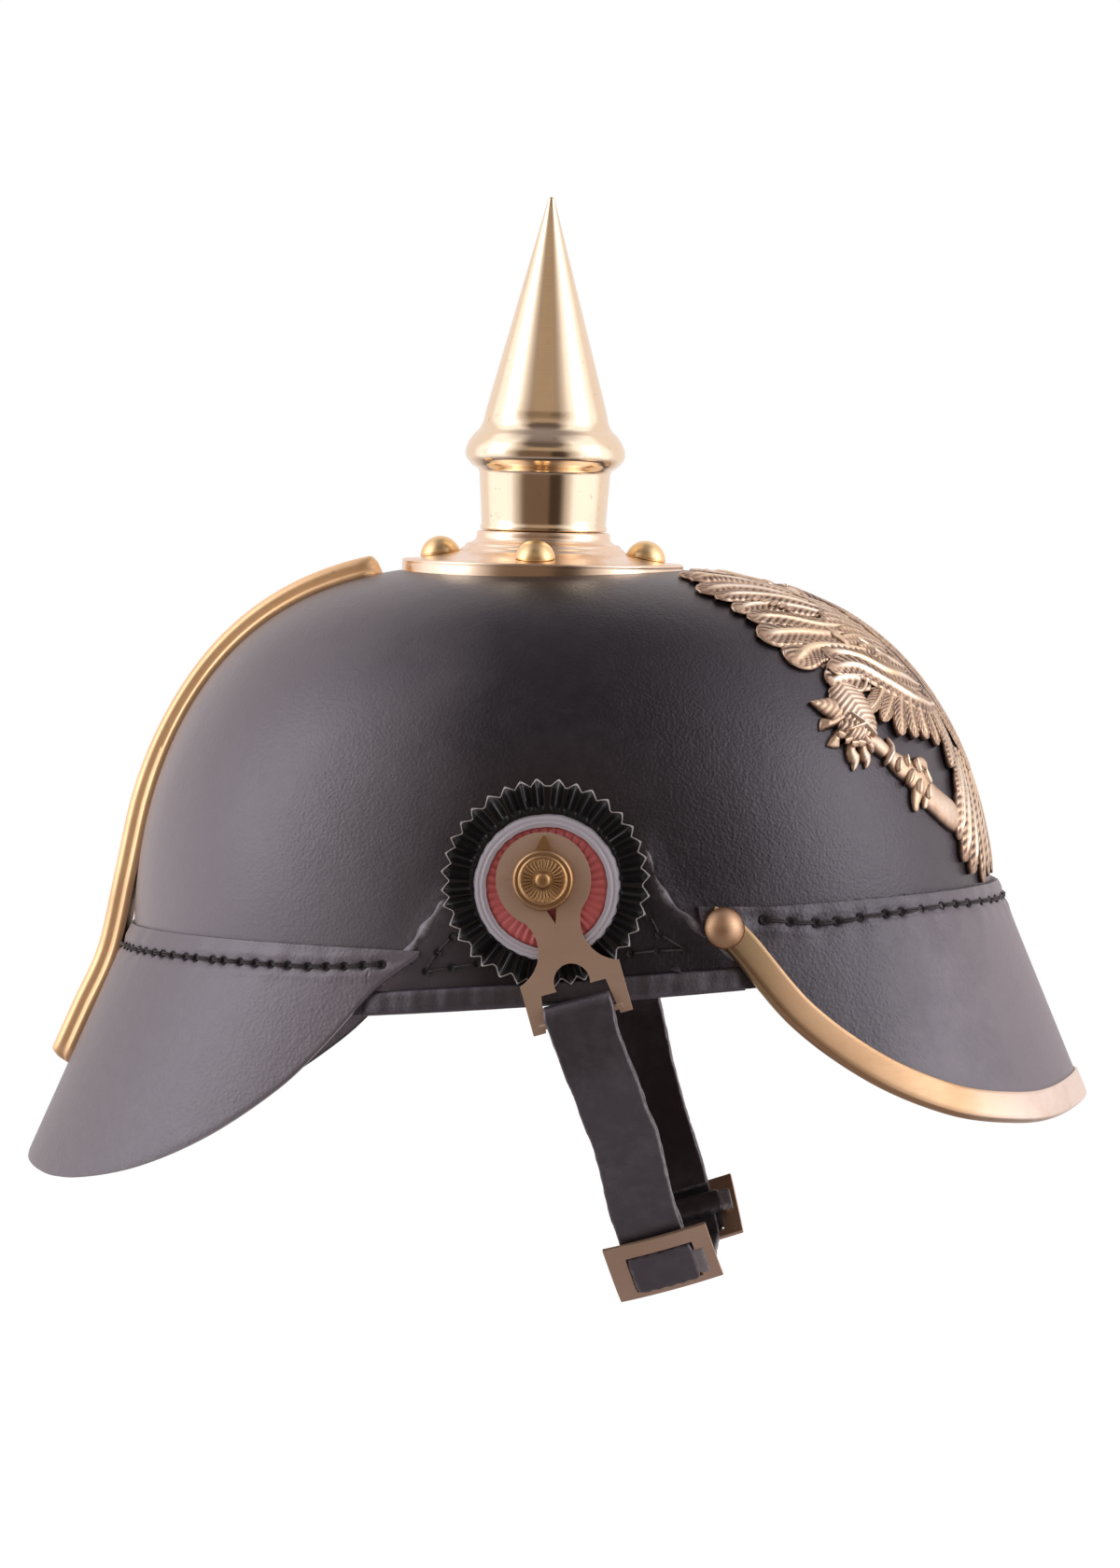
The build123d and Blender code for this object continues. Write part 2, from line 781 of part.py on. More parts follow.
def make_strap_band():
    """Strap from one lug, under the chin, to the other, with both ends folded over the bars."""
    fold = fold_radius()
    straight, bend, side = strap_line(fold, strap_side_length)
    low = JernArc(side @ 1, side % 1, strap_low_bend + fold, strap_low_angle - strap_side_angle)
    sag = -(low @ 1).X / math.cos(math.radians(strap_low_angle))
    sagging = JernArc(low @ 1, low % 1, sag, 90 - strap_low_angle)
    inner_straight, inner_bend, _ = strap_line(-fold, strap_side_length)
    over = ThreePointArc(inner_straight @ 0, (-lug_side(), -lug_bar_drop + fold), straight @ 0)
    line = [inner_bend, inner_straight, over, straight, bend, side, low, sagging]
    half = leather_ply([piece.edge() for piece in line])
    return half + mirror(half, about=Plane.XZ)


def make_strap_end():
    """Inner ply on the right, from its bend down to the buckle's sleeve."""
    length = buckle_place - sleeve_half_height() - buckle_clearance
    side = strap_line(-fold_radius(), length)[2]
    return leather_ply([side.edge()])


def buckle_plane():
    """Middle of the right buckle on the outer ply, facing out."""
    side = strap_line(fold_radius(), buckle_place)[2]
    place = side @ 1
    along = side % 1
    return Plane(origin=(0, place.X, place.Y), x_dir=(1, 0, 0), z_dir=(0, along.Y, -along.X))


def sleeve_half_height():
    """Half the height of the leather sleeve round the centre bar."""
    return buckle_bar_height / 2 + sleeve_leather


def slab(width, height, low, high):
    """Block centred on a plane's origin between two depths."""
    return Pos(0, 0, (low + high) / 2) * Box(width, height, high - low)


def make_buckle():
    """Flat frame before the strap, with arms back to a centre bar behind it."""
    front = strap_leather / 2 + buckle_clearance
    bar_front = -front - sleeve_leather
    bar_back = bar_front - buckle_bar_thickness
    frame = slab(buckle_width, buckle_height, front, front + buckle_sheet)
    frame = frame - slab(buckle_window_width, buckle_window_height, -front, through)
    span = buckle_window_width + 2 * buckle_arm
    stirrup = slab(span, buckle_bar_height, bar_back, front + buckle_sheet / 2)
    inside = slab(buckle_window_width, buckle_height, bar_front, through)
    return frame + (stirrup - inside)


def make_sleeve():
    """End of the strap sewn round the centre bar."""
    front = -strap_leather / 2 - buckle_clearance
    back = front - 2 * sleeve_leather - buckle_bar_thickness
    length = strap_width + sleeve_front_overhang
    block = slab(length, 2 * sleeve_half_height(), back, front)
    block = fillet(block.edges().filter_by(Axis.X), sleeve_leather)
    bar = slab(through, buckle_bar_height, back + sleeve_leather, front - sleeve_leather)
    return Pos(sleeve_front_overhang / 2, 0, 0) * (block - bar)


def make_welt(core, others):
    """Band round the rim on each side, between the visors."""
    ring = dome(welt_thickness) - core - under_rim()
    ring = ring & under_rim(welt_height) & slice_between(welt_rear_end, welt_front_end)
    for other in others:
        ring = ring - other
    return [max((piece for piece in ring.solids() if piece.center().Y * side > 0),
                key=lambda piece: piece.volume) for side in (-1, 1)]


def make_patch(inside):
    """Leather patch inside the shell round the right post."""
    face = make_face(Polyline(
        (post_x - patch_foot_half_width, patch_foot_height),
        (post_x - patch_top_half_width, patch_top_height),
        (post_x + patch_top_half_width, patch_top_height),
        (post_x + patch_foot_half_width, patch_foot_height),
        close=True,
    ))
    side = extrude(Plane.XZ * face, amount=through)
    return (inside - dome(-shell_wall - patch_leather)) & side


def liner_form(shrink):
    """Solid inside the sweatband's outer face, or inside its inner face."""
    rise = liner_top_height - liner_foot_height
    ovals = []
    for height_at, reach_at_height in zip(liner_heights_share, liner_reach_share):
        half_length = (shell_half_length - shell_wall - hair) * reach_at_height - shrink
        half_width = (shell_half_width - shell_wall - hair) * reach_at_height - shrink
        ovals.append(level_oval(half_length, half_width, liner_foot_height + rise * height_at - shrink))
    return loft(ovals)


def make_liner():
    """Sweatband with tongues that lean in to the lace."""
    skin = liner_form(0) - liner_form(liner_leather) - under_rim(liner_gap)
    top = Pos(0, 0, liner_top_height - liner_leather + through / 2) * Box(through, through, through)
    slits = []
    for turn in range(liner_tongues):
        slit = Pos(through / 2, 0, liner_band_height + through / 2) * Box(through, liner_slit, through)
        slits.append(Rot(0, 0, 360 / liner_tongues * (turn + 0.5)) * slit)
    return largest((skin - top).cut(*slits))


def make_lace():
    """Lace laid round the tips of the tongues."""
    reach = liner_reach_share[-1]
    half_length = (shell_half_length - shell_wall - hair) * reach
    half_width = (shell_half_width - shell_wall - hair) * reach
    height = liner_top_height - liner_leather + lace_diameter / 2 + hair
    line = Pos(0, 0, height) * Edge.make_ellipse(half_length, half_width)
    section = Plane(origin=line @ 0, z_dir=line % 0) * Circle(lace_diameter / 2)
    return sweep(section, path=Wire([line]))


def eagle_plane():
    """Plane on which the eagle is drawn: X to the wearer's left, Y up the plate."""
    lean = math.radians(eagle_lean)
    return Plane(origin=(0, 0, 0), x_dir=(0, 1, 0), z_dir=(math.cos(lean), 0, math.sin(lean)))


def tongue(start, end, start_width, end_width):
    """Outline of a tongue between two round ends."""
    first = Pos(*start) * Circle(start_width / 2)
    last = Pos(*end) * Circle(end_width / 2)
    return make_hull([*first.edges(), *last.edges()])


def eagle_outline():
    """The eagle with spread wings, a fanned tail, claws, and a shaft in each claw."""
    root = eagle_wing_root
    wing = [tongue(root, tip, eagle_body_half_width, eagle_feather_width) for tip in eagle_feather_tips]
    claw = [Pos(*eagle_claw) * Circle(eagle_claw_radius)]
    claw += [tongue(eagle_claw, tip, eagle_claw_radius, eagle_talon_width) for tip in eagle_talons]
    leg = tongue(eagle_leg_root, eagle_claw, eagle_leg_width, eagle_claw_radius)
    shaft = [
        tongue(eagle_claw, eagle_shaft_knob, eagle_shaft_width, eagle_shaft_width),
        tongue(eagle_shaft_knob, eagle_shaft_foot, eagle_shaft_width, eagle_shaft_width * 1.5),
        Pos(*eagle_shaft_knob) * Circle(eagle_shaft_knob_radius),
    ]
    tail = [tongue((0, eagle_tail_root), tip, eagle_tail_width, eagle_tail_width) for tip in eagle_tail_tips]
    side = Sketch() + [*wing, *claw, leg, *shaft, *tail]
    body = Pos(0, eagle_body_centre) * Ellipse(eagle_body_half_width, eagle_body_half_height)
    neck = tongue((0, eagle_body_centre), eagle_neck_top, eagle_body_half_width, eagle_neck_width)
    head = Pos(*eagle_head_centre) * Circle(eagle_head_radius)
    beak = tongue(eagle_head_centre, eagle_beak, eagle_head_radius, eagle_beak_width)
    crown = Pos(*eagle_crown_centre) * Circle(eagle_crown_radius)
    return side + mirror(side, about=Plane.YZ) + [body, neck, head, beak, crown]


def make_eagle():
    """Brass eagle, cut through from its flat drawing and curved to the front of the dome."""
    bar = extrude(eagle_plane() * eagle_outline(), amount=through)
    return largest((dome(eagle_gap + eagle_sheet) - dome(eagle_gap)) & bar)


def make_eagle_posts(skins):
    """Threaded posts of the eagle through the shell, and their square nuts."""
    x, y = eagle_post_place
    post = eagle_plane() * Pos(x, y, 0) * extrude(Circle(eagle_post_diameter / 2), amount=through)
    nut = eagle_plane() * Pos(x, y, 0) * extrude(
        Rectangle(eagle_nut_width, eagle_nut_width) - Circle(eagle_post_diameter / 2 + thread_clearance),
        amount=through)
    core = skins["eagle_back"] - dome(-shell_wall - eagle_nut_thickness - eagle_post_diameter / 2)
    pad = skins["inside_gap"] - dome(-shell_wall - eagle_nut_thickness)
    return both_sides(post & core), both_sides(nut & pad)


def write(name, *solids):
    """Write one sub-part."""
    pieces = [piece for solid in solids for piece in solid.solids()]
    shape = pieces[0] if len(pieces) == 1 else Compound(children=pieces)
    export_step(shape, f"parts/{name}.step")


def main():
    """Build every sub-part and write it."""
    os.makedirs("parts", exist_ok=True)
    core = dome(0)
    inside = dome(-shell_wall)
    skins = {
        "core": core,
        "inside": inside,
        "inside_gap": dome(-shell_wall - hair),
        "patch_gap": dome(-shell_wall - patch_leather - hair),
        "eagle_back": dome(eagle_gap),
        "prong_inside": dome(-shell_wall - spine_prong_thickness),
    }

    front_visor = make_front_visor(core)
    rear_visor = make_rear_visor(core)
    trim = make_front_trim(core, front_visor)
    welt = make_welt(core, [front_visor, rear_visor, trim])

    prongs = make_spine_prongs(skins)
    eagle_posts, eagle_nuts = make_eagle_posts(skins)
    spike_stud = make_spike_stud()

    stud_plane = trim_stud_plane()
    stud_length = visor_leather + trim_sheet + shell_wall
    trim_stud = stud_plane * domed_stud(trim_stud_diameter, trim_stud_rise, trim_stud_pin, stud_length)
    trim_studs = both_sides(trim_stud)
    trim_holes = both_sides(stud_plane * rod(
        (0, 0, trim_stud_rise), (0, 0, -1), trim_stud_pin / 2 + hair, stud_length + 2 * trim_stud_rise))

    seats = base_stud_seats()
    pin_length = base_shoulder_height - flat_inside() + base_stud_washer_thickness + 2 * base_stud_tail
    base_stud = domed_stud(base_stud_diameter, base_stud_rise, base_stud_pin, pin_length)
    base_studs = [seat * base_stud for seat in seats]
    hole_length = pin_length + 2 * base_stud_rise
    base_hole = rod((0, 0, base_stud_rise), (0, 0, -1), base_stud_pin / 2 + hair, hole_length)
    base_holes = [seat * base_hole for seat in seats]
    disc = Pos(0, 0, -pin_length) * Cylinder(base_stud_washer_diameter / 2, 2 * pin_length)
    washer_skin = skins["inside_gap"] - dome(-shell_wall - hair - base_stud_washer_thickness)
    base_washers = [(seat * disc & washer_skin) - hole for seat, hole in zip(seats, base_holes)]

    base_plate = make_base_plate(core).cut(*base_holes)

    shank_radius = post_shank_diameter / 2 + hair
    shank_hole = rod((post_x, 0, post_height), (0, -1, 0), shank_radius, through)
    post_holes = both_sides(shank_hole)
    spike_hole = rod((spike_axis_x, 0, 0), (0, 0, 1), spike_stud_diameter / 2 + seam_gap, through)
    shell = (core - inside - under_rim()).cut(
        spike_hole, *post_holes, *trim_holes, *base_holes, *prongs, *eagle_posts)

    disc_depth, centre_depth, lug_depth, head_depth = cockade_depths()
    patch = make_patch(skins["inside_gap"]) - shank_hole
    cockade_ring = on_right_side(disc_depth) * make_cockade_ring()
    cockade_centre = (on_right_side(centre_depth) * make_cockade_centre()) - core
    post = on_right_side(head_depth) * make_post(head_depth)
    nut = (on_right_side(-shell_wall - patch_leather) * make_post_nut()) & skins["patch_gap"]
    lug_plane = Plane(origin=(0, lug_sheet / 2 - lug_side(), 0), x_dir=(1, 0, 0), z_dir=(0, -1, 0))
    lug = hung(lug_plane * make_lug())
    strap_end = hung(make_strap_end())
    buckle = hung(buckle_plane() * make_buckle())
    sleeve = hung(buckle_plane() * make_sleeve())

    write("shell", shell)
    write("side_patches", *both_sides(patch))
    write("rim_welt", *welt)
    write("front_visor", front_visor.cut(*trim_holes))
    write("rear_visor", rear_visor)
    write("front_visor_trim", trim.cut(*trim_holes))
    write("front_trim_studs", *trim_studs)
    write("rear_spine", make_spine(core))
    write("spine_prongs", *prongs)
    write("base_plate", base_plate)
    write("base_studs", *base_studs)
    write("base_stud_washers", *base_washers)
    write("spike", make_spike())
    write("spike_stud", spike_stud)
    write("spike_washer", make_spike_washer())
    write("spike_nut", make_spike_nut())
    write("eagle_plate", make_eagle())
    write("eagle_posts", *eagle_posts)
    write("eagle_nuts", *eagle_nuts)
    write("sweatband_liner", make_liner())
    write("liner_lace", make_lace())
    write("post_nuts", *both_sides(nut))
    write("strap_band", hung(make_strap_band()))
    for name, solid in (
        ("cockade_ring", cockade_ring),
        ("cockade_centre", cockade_centre),
        ("post", post),
        ("lug", lug),
        ("strap_end", strap_end),
        ("buckle", buckle),
        ("buckle_sleeve", sleeve),
    ):
        right, left = both_sides(solid)
        write(f"right_{name}", right)
        write(f"left_{name}", left)


main()
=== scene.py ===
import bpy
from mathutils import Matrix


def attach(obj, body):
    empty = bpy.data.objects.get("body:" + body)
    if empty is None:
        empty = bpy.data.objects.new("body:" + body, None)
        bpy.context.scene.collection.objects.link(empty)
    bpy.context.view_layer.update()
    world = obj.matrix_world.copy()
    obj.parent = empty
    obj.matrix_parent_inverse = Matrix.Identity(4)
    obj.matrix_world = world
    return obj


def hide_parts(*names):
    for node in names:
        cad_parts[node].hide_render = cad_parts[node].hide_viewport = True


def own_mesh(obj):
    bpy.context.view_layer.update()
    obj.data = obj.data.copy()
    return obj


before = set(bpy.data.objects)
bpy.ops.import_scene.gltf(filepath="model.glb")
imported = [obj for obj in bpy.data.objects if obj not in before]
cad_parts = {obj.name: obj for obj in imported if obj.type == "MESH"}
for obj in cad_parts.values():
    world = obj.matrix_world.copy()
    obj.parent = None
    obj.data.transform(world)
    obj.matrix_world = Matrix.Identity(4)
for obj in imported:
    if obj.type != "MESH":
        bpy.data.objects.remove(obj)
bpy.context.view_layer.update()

import math

import bmesh
import bpy
import numpy as np
from mathutils import Matrix, Vector

bl_info = {
    "name": "Spiked Leather Helmet",
    "version": (1, 0, 0),
    "blender": (4, 5, 0),
    "location": "3D View > Sidebar > Helmet",
    "description": "Builds the looks of a spiked leather helmet round its packed parts",
    "category": "Add Mesh",
}

# The part's own sizes, in millimetres: X to the front, Y to the wearer's left, Z up
MM = 0.001
SHELL_LENGTH, SHELL_WIDTH, SHELL_WALL = 118.0, 97.0, 3.0
SEAT = 0.8
CROWN, RISE, FULLNESS = 114.0, 100.0, 0.6
RIM_LINES = ((-118.0, 1.0, -58.0, -5.48), (-58.0, -5.48, 62.0, 5.86), (62.0, 5.86, 118.0, 20.0))
SPIKE_X = -8.0
POST_X, POST_Z = 1.5, 33.4
SWING = math.radians(17)
PLATE_LEAN = math.radians(40)
HALF_REACH = 150.0


def smooth_line(points, count):
    """Points evenly spaced along a smooth line through the given ones."""
    points = np.array(points, float)
    ends = (2 * points[0] - points[1], 2 * points[-1] - points[-2])
    full = np.vstack([ends[0], points, ends[1]])
    share = np.linspace(0, 1, 24, endpoint=False)[:, None]
    runs = []
    for a, b, c, d in zip(full, full[1:], full[2:], full[3:]):
        runs.append(0.5 * (2 * b + (c - a) * share + (2 * a - 5 * b + 4 * c - d) * share ** 2
                           + (3 * b - a - 3 * c + d) * share ** 3))
    line = np.vstack([*runs, points[-1:]])
    return even_line(line, count)


def even_line(line, count):
    """The same line with evenly spaced points."""
    steps = np.linalg.norm(np.diff(line, axis=0), axis=1)
    length = np.concatenate([[0], np.cumsum(steps)])
    places = np.linspace(0, length[-1], count)
    return np.stack([np.interp(places, length, column) for column in line.T], axis=1)


def unit(vectors):
    """Vectors of length one."""
    return vectors / np.maximum(np.linalg.norm(vectors, axis=-1, keepdims=True), 1e-12)


def soft_step(low, high, values):
    """A smooth change from 0 to 1 between two values."""
    share = np.clip((values - low) / (high - low), 0, 1)
    return share * share * (3 - 2 * share)


def bump_at(distance, width):
    """A round bump of height one and the given width."""
    return np.exp(-(distance / width) ** 2)


def rounded(share, power=2):
    """1 in the middle and 0 at the edges, where the share is 1 or -1, with round shoulders."""
    return np.sqrt(np.clip(1 - share ** power, 0, 1))


def shell_reach(height, grow=0.0):
    """Share of its full half-size that the dome has at a height."""
    share = np.clip((CROWN + grow - height) / (RISE + grow), 0, 1)
    return (1 - (1 - share) ** 2) ** (FULLNESS / 2)


def rim_height(x):
    """Height of the shell's rim at a place along the helmet."""
    lines = [z0 + (x - x0) * (z1 - z0) / (x1 - x0) for x0, z0, x1, z1 in RIM_LINES]
    return np.maximum.reduce(lines)


def side_depth(x, z, grow=0.0):
    """How far out the shell's side lies at a place."""
    reach = shell_reach(z, grow)
    share = x / ((SHELL_LENGTH + grow) * np.maximum(reach, 1e-6))
    return (SHELL_WIDTH + grow) * reach * rounded(share)


def dome_gap(points):
    """Below zero inside the dome, above zero outside it."""
    x, y, z = points.T
    return np.hypot(x / SHELL_LENGTH, y / SHELL_WIDTH) - shell_reach(z)


def dome_normal(points):
    """Direction straight out of the dome at points on it."""
    step = 0.05
    parts = []
    for axis in np.eye(3):
        parts.append(dome_gap(points + axis * step) - dome_gap(points - axis * step))
    return unit(np.stack(parts, axis=1))


def on_plate(across, up, rise):
    """Points of the eagle plate's flat drawing, laid on the dome and lifted by a rise."""
    lean = np.array([math.cos(PLATE_LEAN), 0, math.sin(PLATE_LEAN)])
    climb = np.array([-math.sin(PLATE_LEAN), 0, math.cos(PLATE_LEAN)])
    flat = np.outer(up, climb)
    flat[:, 1] += across
    low, high = np.full(len(flat), 35.0), np.full(len(flat), 190.0)
    for _ in range(26):
        middle = (low + high) / 2
        outside = dome_gap(flat + middle[:, None] * lean) > 0
        high = np.where(outside, middle, high)
        low = np.where(outside, low, middle)
    points = flat + low[:, None] * lean
    flatter = 0.3 + 0.7 * soft_step(11, 30, np.abs(across))
    return points + dome_normal(points) * (np.asarray(rise) * flatter)[:, None]


def move(verts, points):
    """Puts vertices at points given in millimetres."""
    for vert, point in zip(verts, points * MM):
        vert.co = point


def lay_grid(bm, across, along, place):
    """Adds a grid whose points are laid by place(u, v), in millimetres, with u and v from 0 to 1."""
    layer = bm.verts.layers.float.get("relief") or bm.verts.layers.float.new("relief")
    made = bmesh.ops.create_grid(bm, x_segments=across, y_segments=along, size=0.5)["verts"]
    flat = np.array([vert.co for vert in made])[:, :2] + 0.5
    points = place(flat[:, 0], flat[:, 1])
    if isinstance(points, tuple):
        points, heights = points
        for vert, height in zip(made, heights):
            vert[layer] = height
    move(made, points)
    return made


def section_at(section, u):
    """Both measures of a section, at shares of its points."""
    reach = np.linspace(0, 1, len(section))
    return np.interp(u, reach, section[:, 0]), np.interp(u, reach, section[:, 1])


def side_of(line):
    """Directions to the left along a flat line."""
    ahead = unit(np.gradient(line, axis=0))
    return np.stack([-ahead[:, 1], ahead[:, 0]], axis=1)


def straight_part(start, end, shares):
    """Points of an outline along a straight line."""
    return [tuple(a + (b - a) * share for a, b in zip(start, end)) for share in shares]


def round_part(across, up, radius, start, stop, count):
    """Points of an outline round a part of a circle."""
    turns = np.linspace(start, stop, count)
    return [(across + radius * math.cos(turn), up + radius * math.sin(turn)) for turn in turns]


def dome_outline(turns):
    """Points of the dome's outline, as (distance from its middle, height)."""
    return [(SHELL_LENGTH * math.sin(turn) ** FULLNESS, CROWN - RISE * (1 - math.cos(turn)))
            for turn in turns]


def facing(place, out):
    """Matrix that stands a turned shape at a place in millimetres, facing a direction."""
    turned = Vector(out).to_track_quat("Z", "Y").to_matrix().to_4x4()
    return Matrix.Translation(Vector(place) * MM) @ turned


def spin_outline(bm, outline, steps, place=Matrix.Identity(4), squash=1.0):
    """Turns an outline of (radius, height) in millimetres about Z, and puts it in its place."""
    chain = [bm.verts.new((radius * MM, 0, height * MM)) for radius, height in outline]
    edges = [bm.edges.new(pair) for pair in zip(chain, chain[1:])]
    bmesh.ops.spin(bm, geom=chain + edges, axis=(0, 0, 1), cent=(0, 0, 0), dvec=(0, 0, 0),
                   angle=2 * math.pi, steps=steps, use_merge=True, use_duplicate=False)
    turned = list({vert for face in bm.faces for vert in face.verts if not vert.tag})
    bmesh.ops.scale(bm, vec=(1, squash, 1), verts=turned)
    bmesh.ops.transform(bm, matrix=place, verts=turned)
    for vert in turned:
        vert.tag = True
    return turned


def mirror_sides(bm):
    """Adds the mirror image on the wearer's other side."""
    bmesh.ops.mirror(bm, geom=bm.verts[:] + bm.edges[:] + bm.faces[:], merge_dist=0, axis="Y")


def tube(bm, line, radius, around):
    """A round cord along a line of points in millimetres."""
    line = np.asarray(line, float)
    ahead = unit(np.gradient(line, axis=0))
    guide = np.tile([0.0, 0.0, 1.0], (len(line), 1))
    guide[np.abs(ahead[:, 2]) > 0.9] = (1.0, 0.0, 0.0)
    side = unit(np.cross(ahead, guide))
    rise = np.cross(side, ahead)

    def place(u, v):
        index = np.rint(v * (len(line) - 1)).astype(int)
        turn = u * 2 * np.pi
        size = radius * rounded(2 * v - 1, 16)
        across, up = np.cos(turn) * size, np.sin(turn) * size
        return line[index] + side[index] * across[:, None] + rise[index] * up[:, None]

    lay_grid(bm, around, len(line) - 1, place)


def add_object(name, data):
    """A new object in the scene."""
    made = bpy.data.objects.new(name, data)
    bpy.context.scene.collection.objects.link(made)
    return made


def finish_piece(name, bm, finish, body, slot, *replaced, crease=None, merge=1e-6, close=False, outwards=True):
    """Turns a bmesh into a named piece that rides on a body."""
    bmesh.ops.remove_doubles(bm, verts=bm.verts[:], dist=merge)
    if close:
        bmesh.ops.holes_fill(bm, edges=bm.edges[:], sides=0)
    if outwards:
        bmesh.ops.recalc_face_normals(bm, faces=bm.faces[:])
    mesh = bpy.data.meshes.new(name)
    bm.to_mesh(mesh)
    bm.free()
    mesh.shade_smooth()
    if crease:
        mesh.set_sharp_from_angle(angle=math.radians(crease))
    mesh.materials.append(FINISHES[finish])
    piece = add_object(name, mesh)
    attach(piece, body)
    if replaced:
        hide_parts(*replaced)
    return piece


def add_wall(piece, thickness, roundness=0.0):
    """Gives an open sheet its wall, inwards, and rounds its edges."""
    wall = piece.modifiers.new("wall", "SOLIDIFY")
    wall.thickness = thickness * MM
    wall.offset = -1
    wall.use_even_offset = True
    if roundness:
        round_edges(piece, roundness, 55)


def round_edges(piece, width, angle):
    """Rounds the sharp edges of a piece."""
    bevel = piece.modifiers.new("rounding", "BEVEL")
    bevel.width = width * MM
    bevel.segments = 2
    bevel.limit_method = "ANGLE"
    bevel.angle_limit = math.radians(angle)
    bevel.harden_normals = True


def rounded_copy(node, name, width, finish, body, slot):
    """A copy of a sheet metal part with its edges rounded."""
    bm = bmesh.new()
    bm.from_mesh(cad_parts[node].data)
    bmesh.ops.remove_doubles(bm, verts=bm.verts[:], dist=1e-6)
    bmesh.ops.dissolve_limit(bm, angle_limit=math.radians(2), verts=bm.verts[:], edges=bm.edges[:])
    piece = finish_piece(name, bm, finish, body, slot, node, crease=30)
    round_edges(piece, width, 40)
    return piece


# ---------------------------------------------------------------- finishes
def connect(socket, value):
    """Gives a socket its value, or links it to another socket."""
    if isinstance(value, bpy.types.NodeSocket):
        socket.id_data.links.new(value, socket)
    else:
        socket.default_value = value


def node_adder(tree):
    """A way to add nodes to a tree, with their settings and inputs."""
    def add(kind, settings=None, **inputs):
        node = tree.nodes.new("ShaderNode" + kind)
        for key, value in (settings or {}).items():
            setattr(node, key, value)
        for key, value in inputs.items():
            connect(node.inputs[key.replace("_", " ")], value)
        return node

    return add


def new_finish(name):
    """An empty finish: a way to add its nodes, and one to connect its shader and get the material."""
    material = bpy.data.materials.new(name)
    material.use_nodes = True
    shader = material.node_tree.nodes["Principled BSDF"]

    def finish(**inputs):
        for key, value in inputs.items():
            connect(shader.inputs[key.replace("_", " ")], value)
        return material

    return node_adder(material.node_tree), finish


def ramp(add, factor, *stops):
    """Colours or greys along a factor, from (place, colour) stops."""
    node = add("ValToRGB", Fac=factor)
    while len(node.color_ramp.elements) < len(stops):
        node.color_ramp.elements.new(0.5)
    for element, (place, colour) in zip(node.color_ramp.elements, stops):
        element.position = place
        element.color = tuple(colour) if hasattr(colour, "__len__") else (colour, colour, colour, 1)
    return node.outputs["Color"]


def blend_colours(add, factor, first, second):
    """Two colours mixed by a factor."""
    node = add("Mix", {"data_type": "RGBA", "blend_type": "MIX"})
    for index, value in ((0, factor), (6, first), (7, second)):
        connect(node.inputs[index], value)
    return node.outputs[2]


def sums(add, kind, first, second):
    """One step of arithmetic."""
    node = add("Math", {"operation": kind})
    connect(node.inputs[0], first)
    connect(node.inputs[1], second)
    return node.outputs[0]


def add_share(add, base, extra, amount):
    """A value with an amount of another added to it."""
    return sums(add, "ADD", base, sums(add, "MULTIPLY", extra, amount))


def add_swing(add, base, cloud, amount):
    """A value that a noise lifts and lowers by up to half of an amount."""
    return add_share(add, base, sums(add, "SUBTRACT", cloud, 0.5), amount)


def spread_over(add, factor, low, high):
    """A value between two others, by a factor."""
    return add("MapRange", Value=factor, To_Min=low, To_Max=high).outputs["Result"]


def bumps(add, height, distance, strength):
    """Directions of a surface with fine bumps."""
    return add("Bump", Height=height, Distance=distance, Strength=strength).outputs["Normal"]


def relief_level(add):
    """The relief that a piece's own shape has written on its points."""
    return add("Attribute", {"attribute_name": "relief"}).outputs["Fac"]


def along_helmet(add, stops, cloud=None):
    """Tones along the helmet, from (millimetres to the front, tone) stops, swayed by a cloud if given."""
    along = add("SeparateXYZ", Vector=add("TexCoord").outputs["Object"]).outputs["X"]
    if cloud:
        along = add_swing(add, along, cloud, 0.05)
    ends = {"From_Min": -HALF_REACH * MM, "From_Max": HALF_REACH * MM}
    share = add("MapRange", Value=along, **ends).outputs["Result"]
    return ramp(add, share, *((place / HALF_REACH / 2 + 0.5, tone) for place, tone in stops))


def object_place(add, scale=(1, 1, 1), turn=(0, 0, 0)):
    """Where a point is on the object, stretched for a pattern."""
    place = add("TexCoord").outputs["Object"]
    return add("Mapping", Vector=place, Scale=scale, Rotation=turn).outputs["Vector"]


def noise(add, scale, detail=4.0, rough=0.55, place=None):
    """Cloudy noise at a scale per metre."""
    if place is None:
        place = object_place(add)
    return add("TexNoise", Vector=place, Scale=scale, Detail=detail, Roughness=rough).outputs["Fac"]


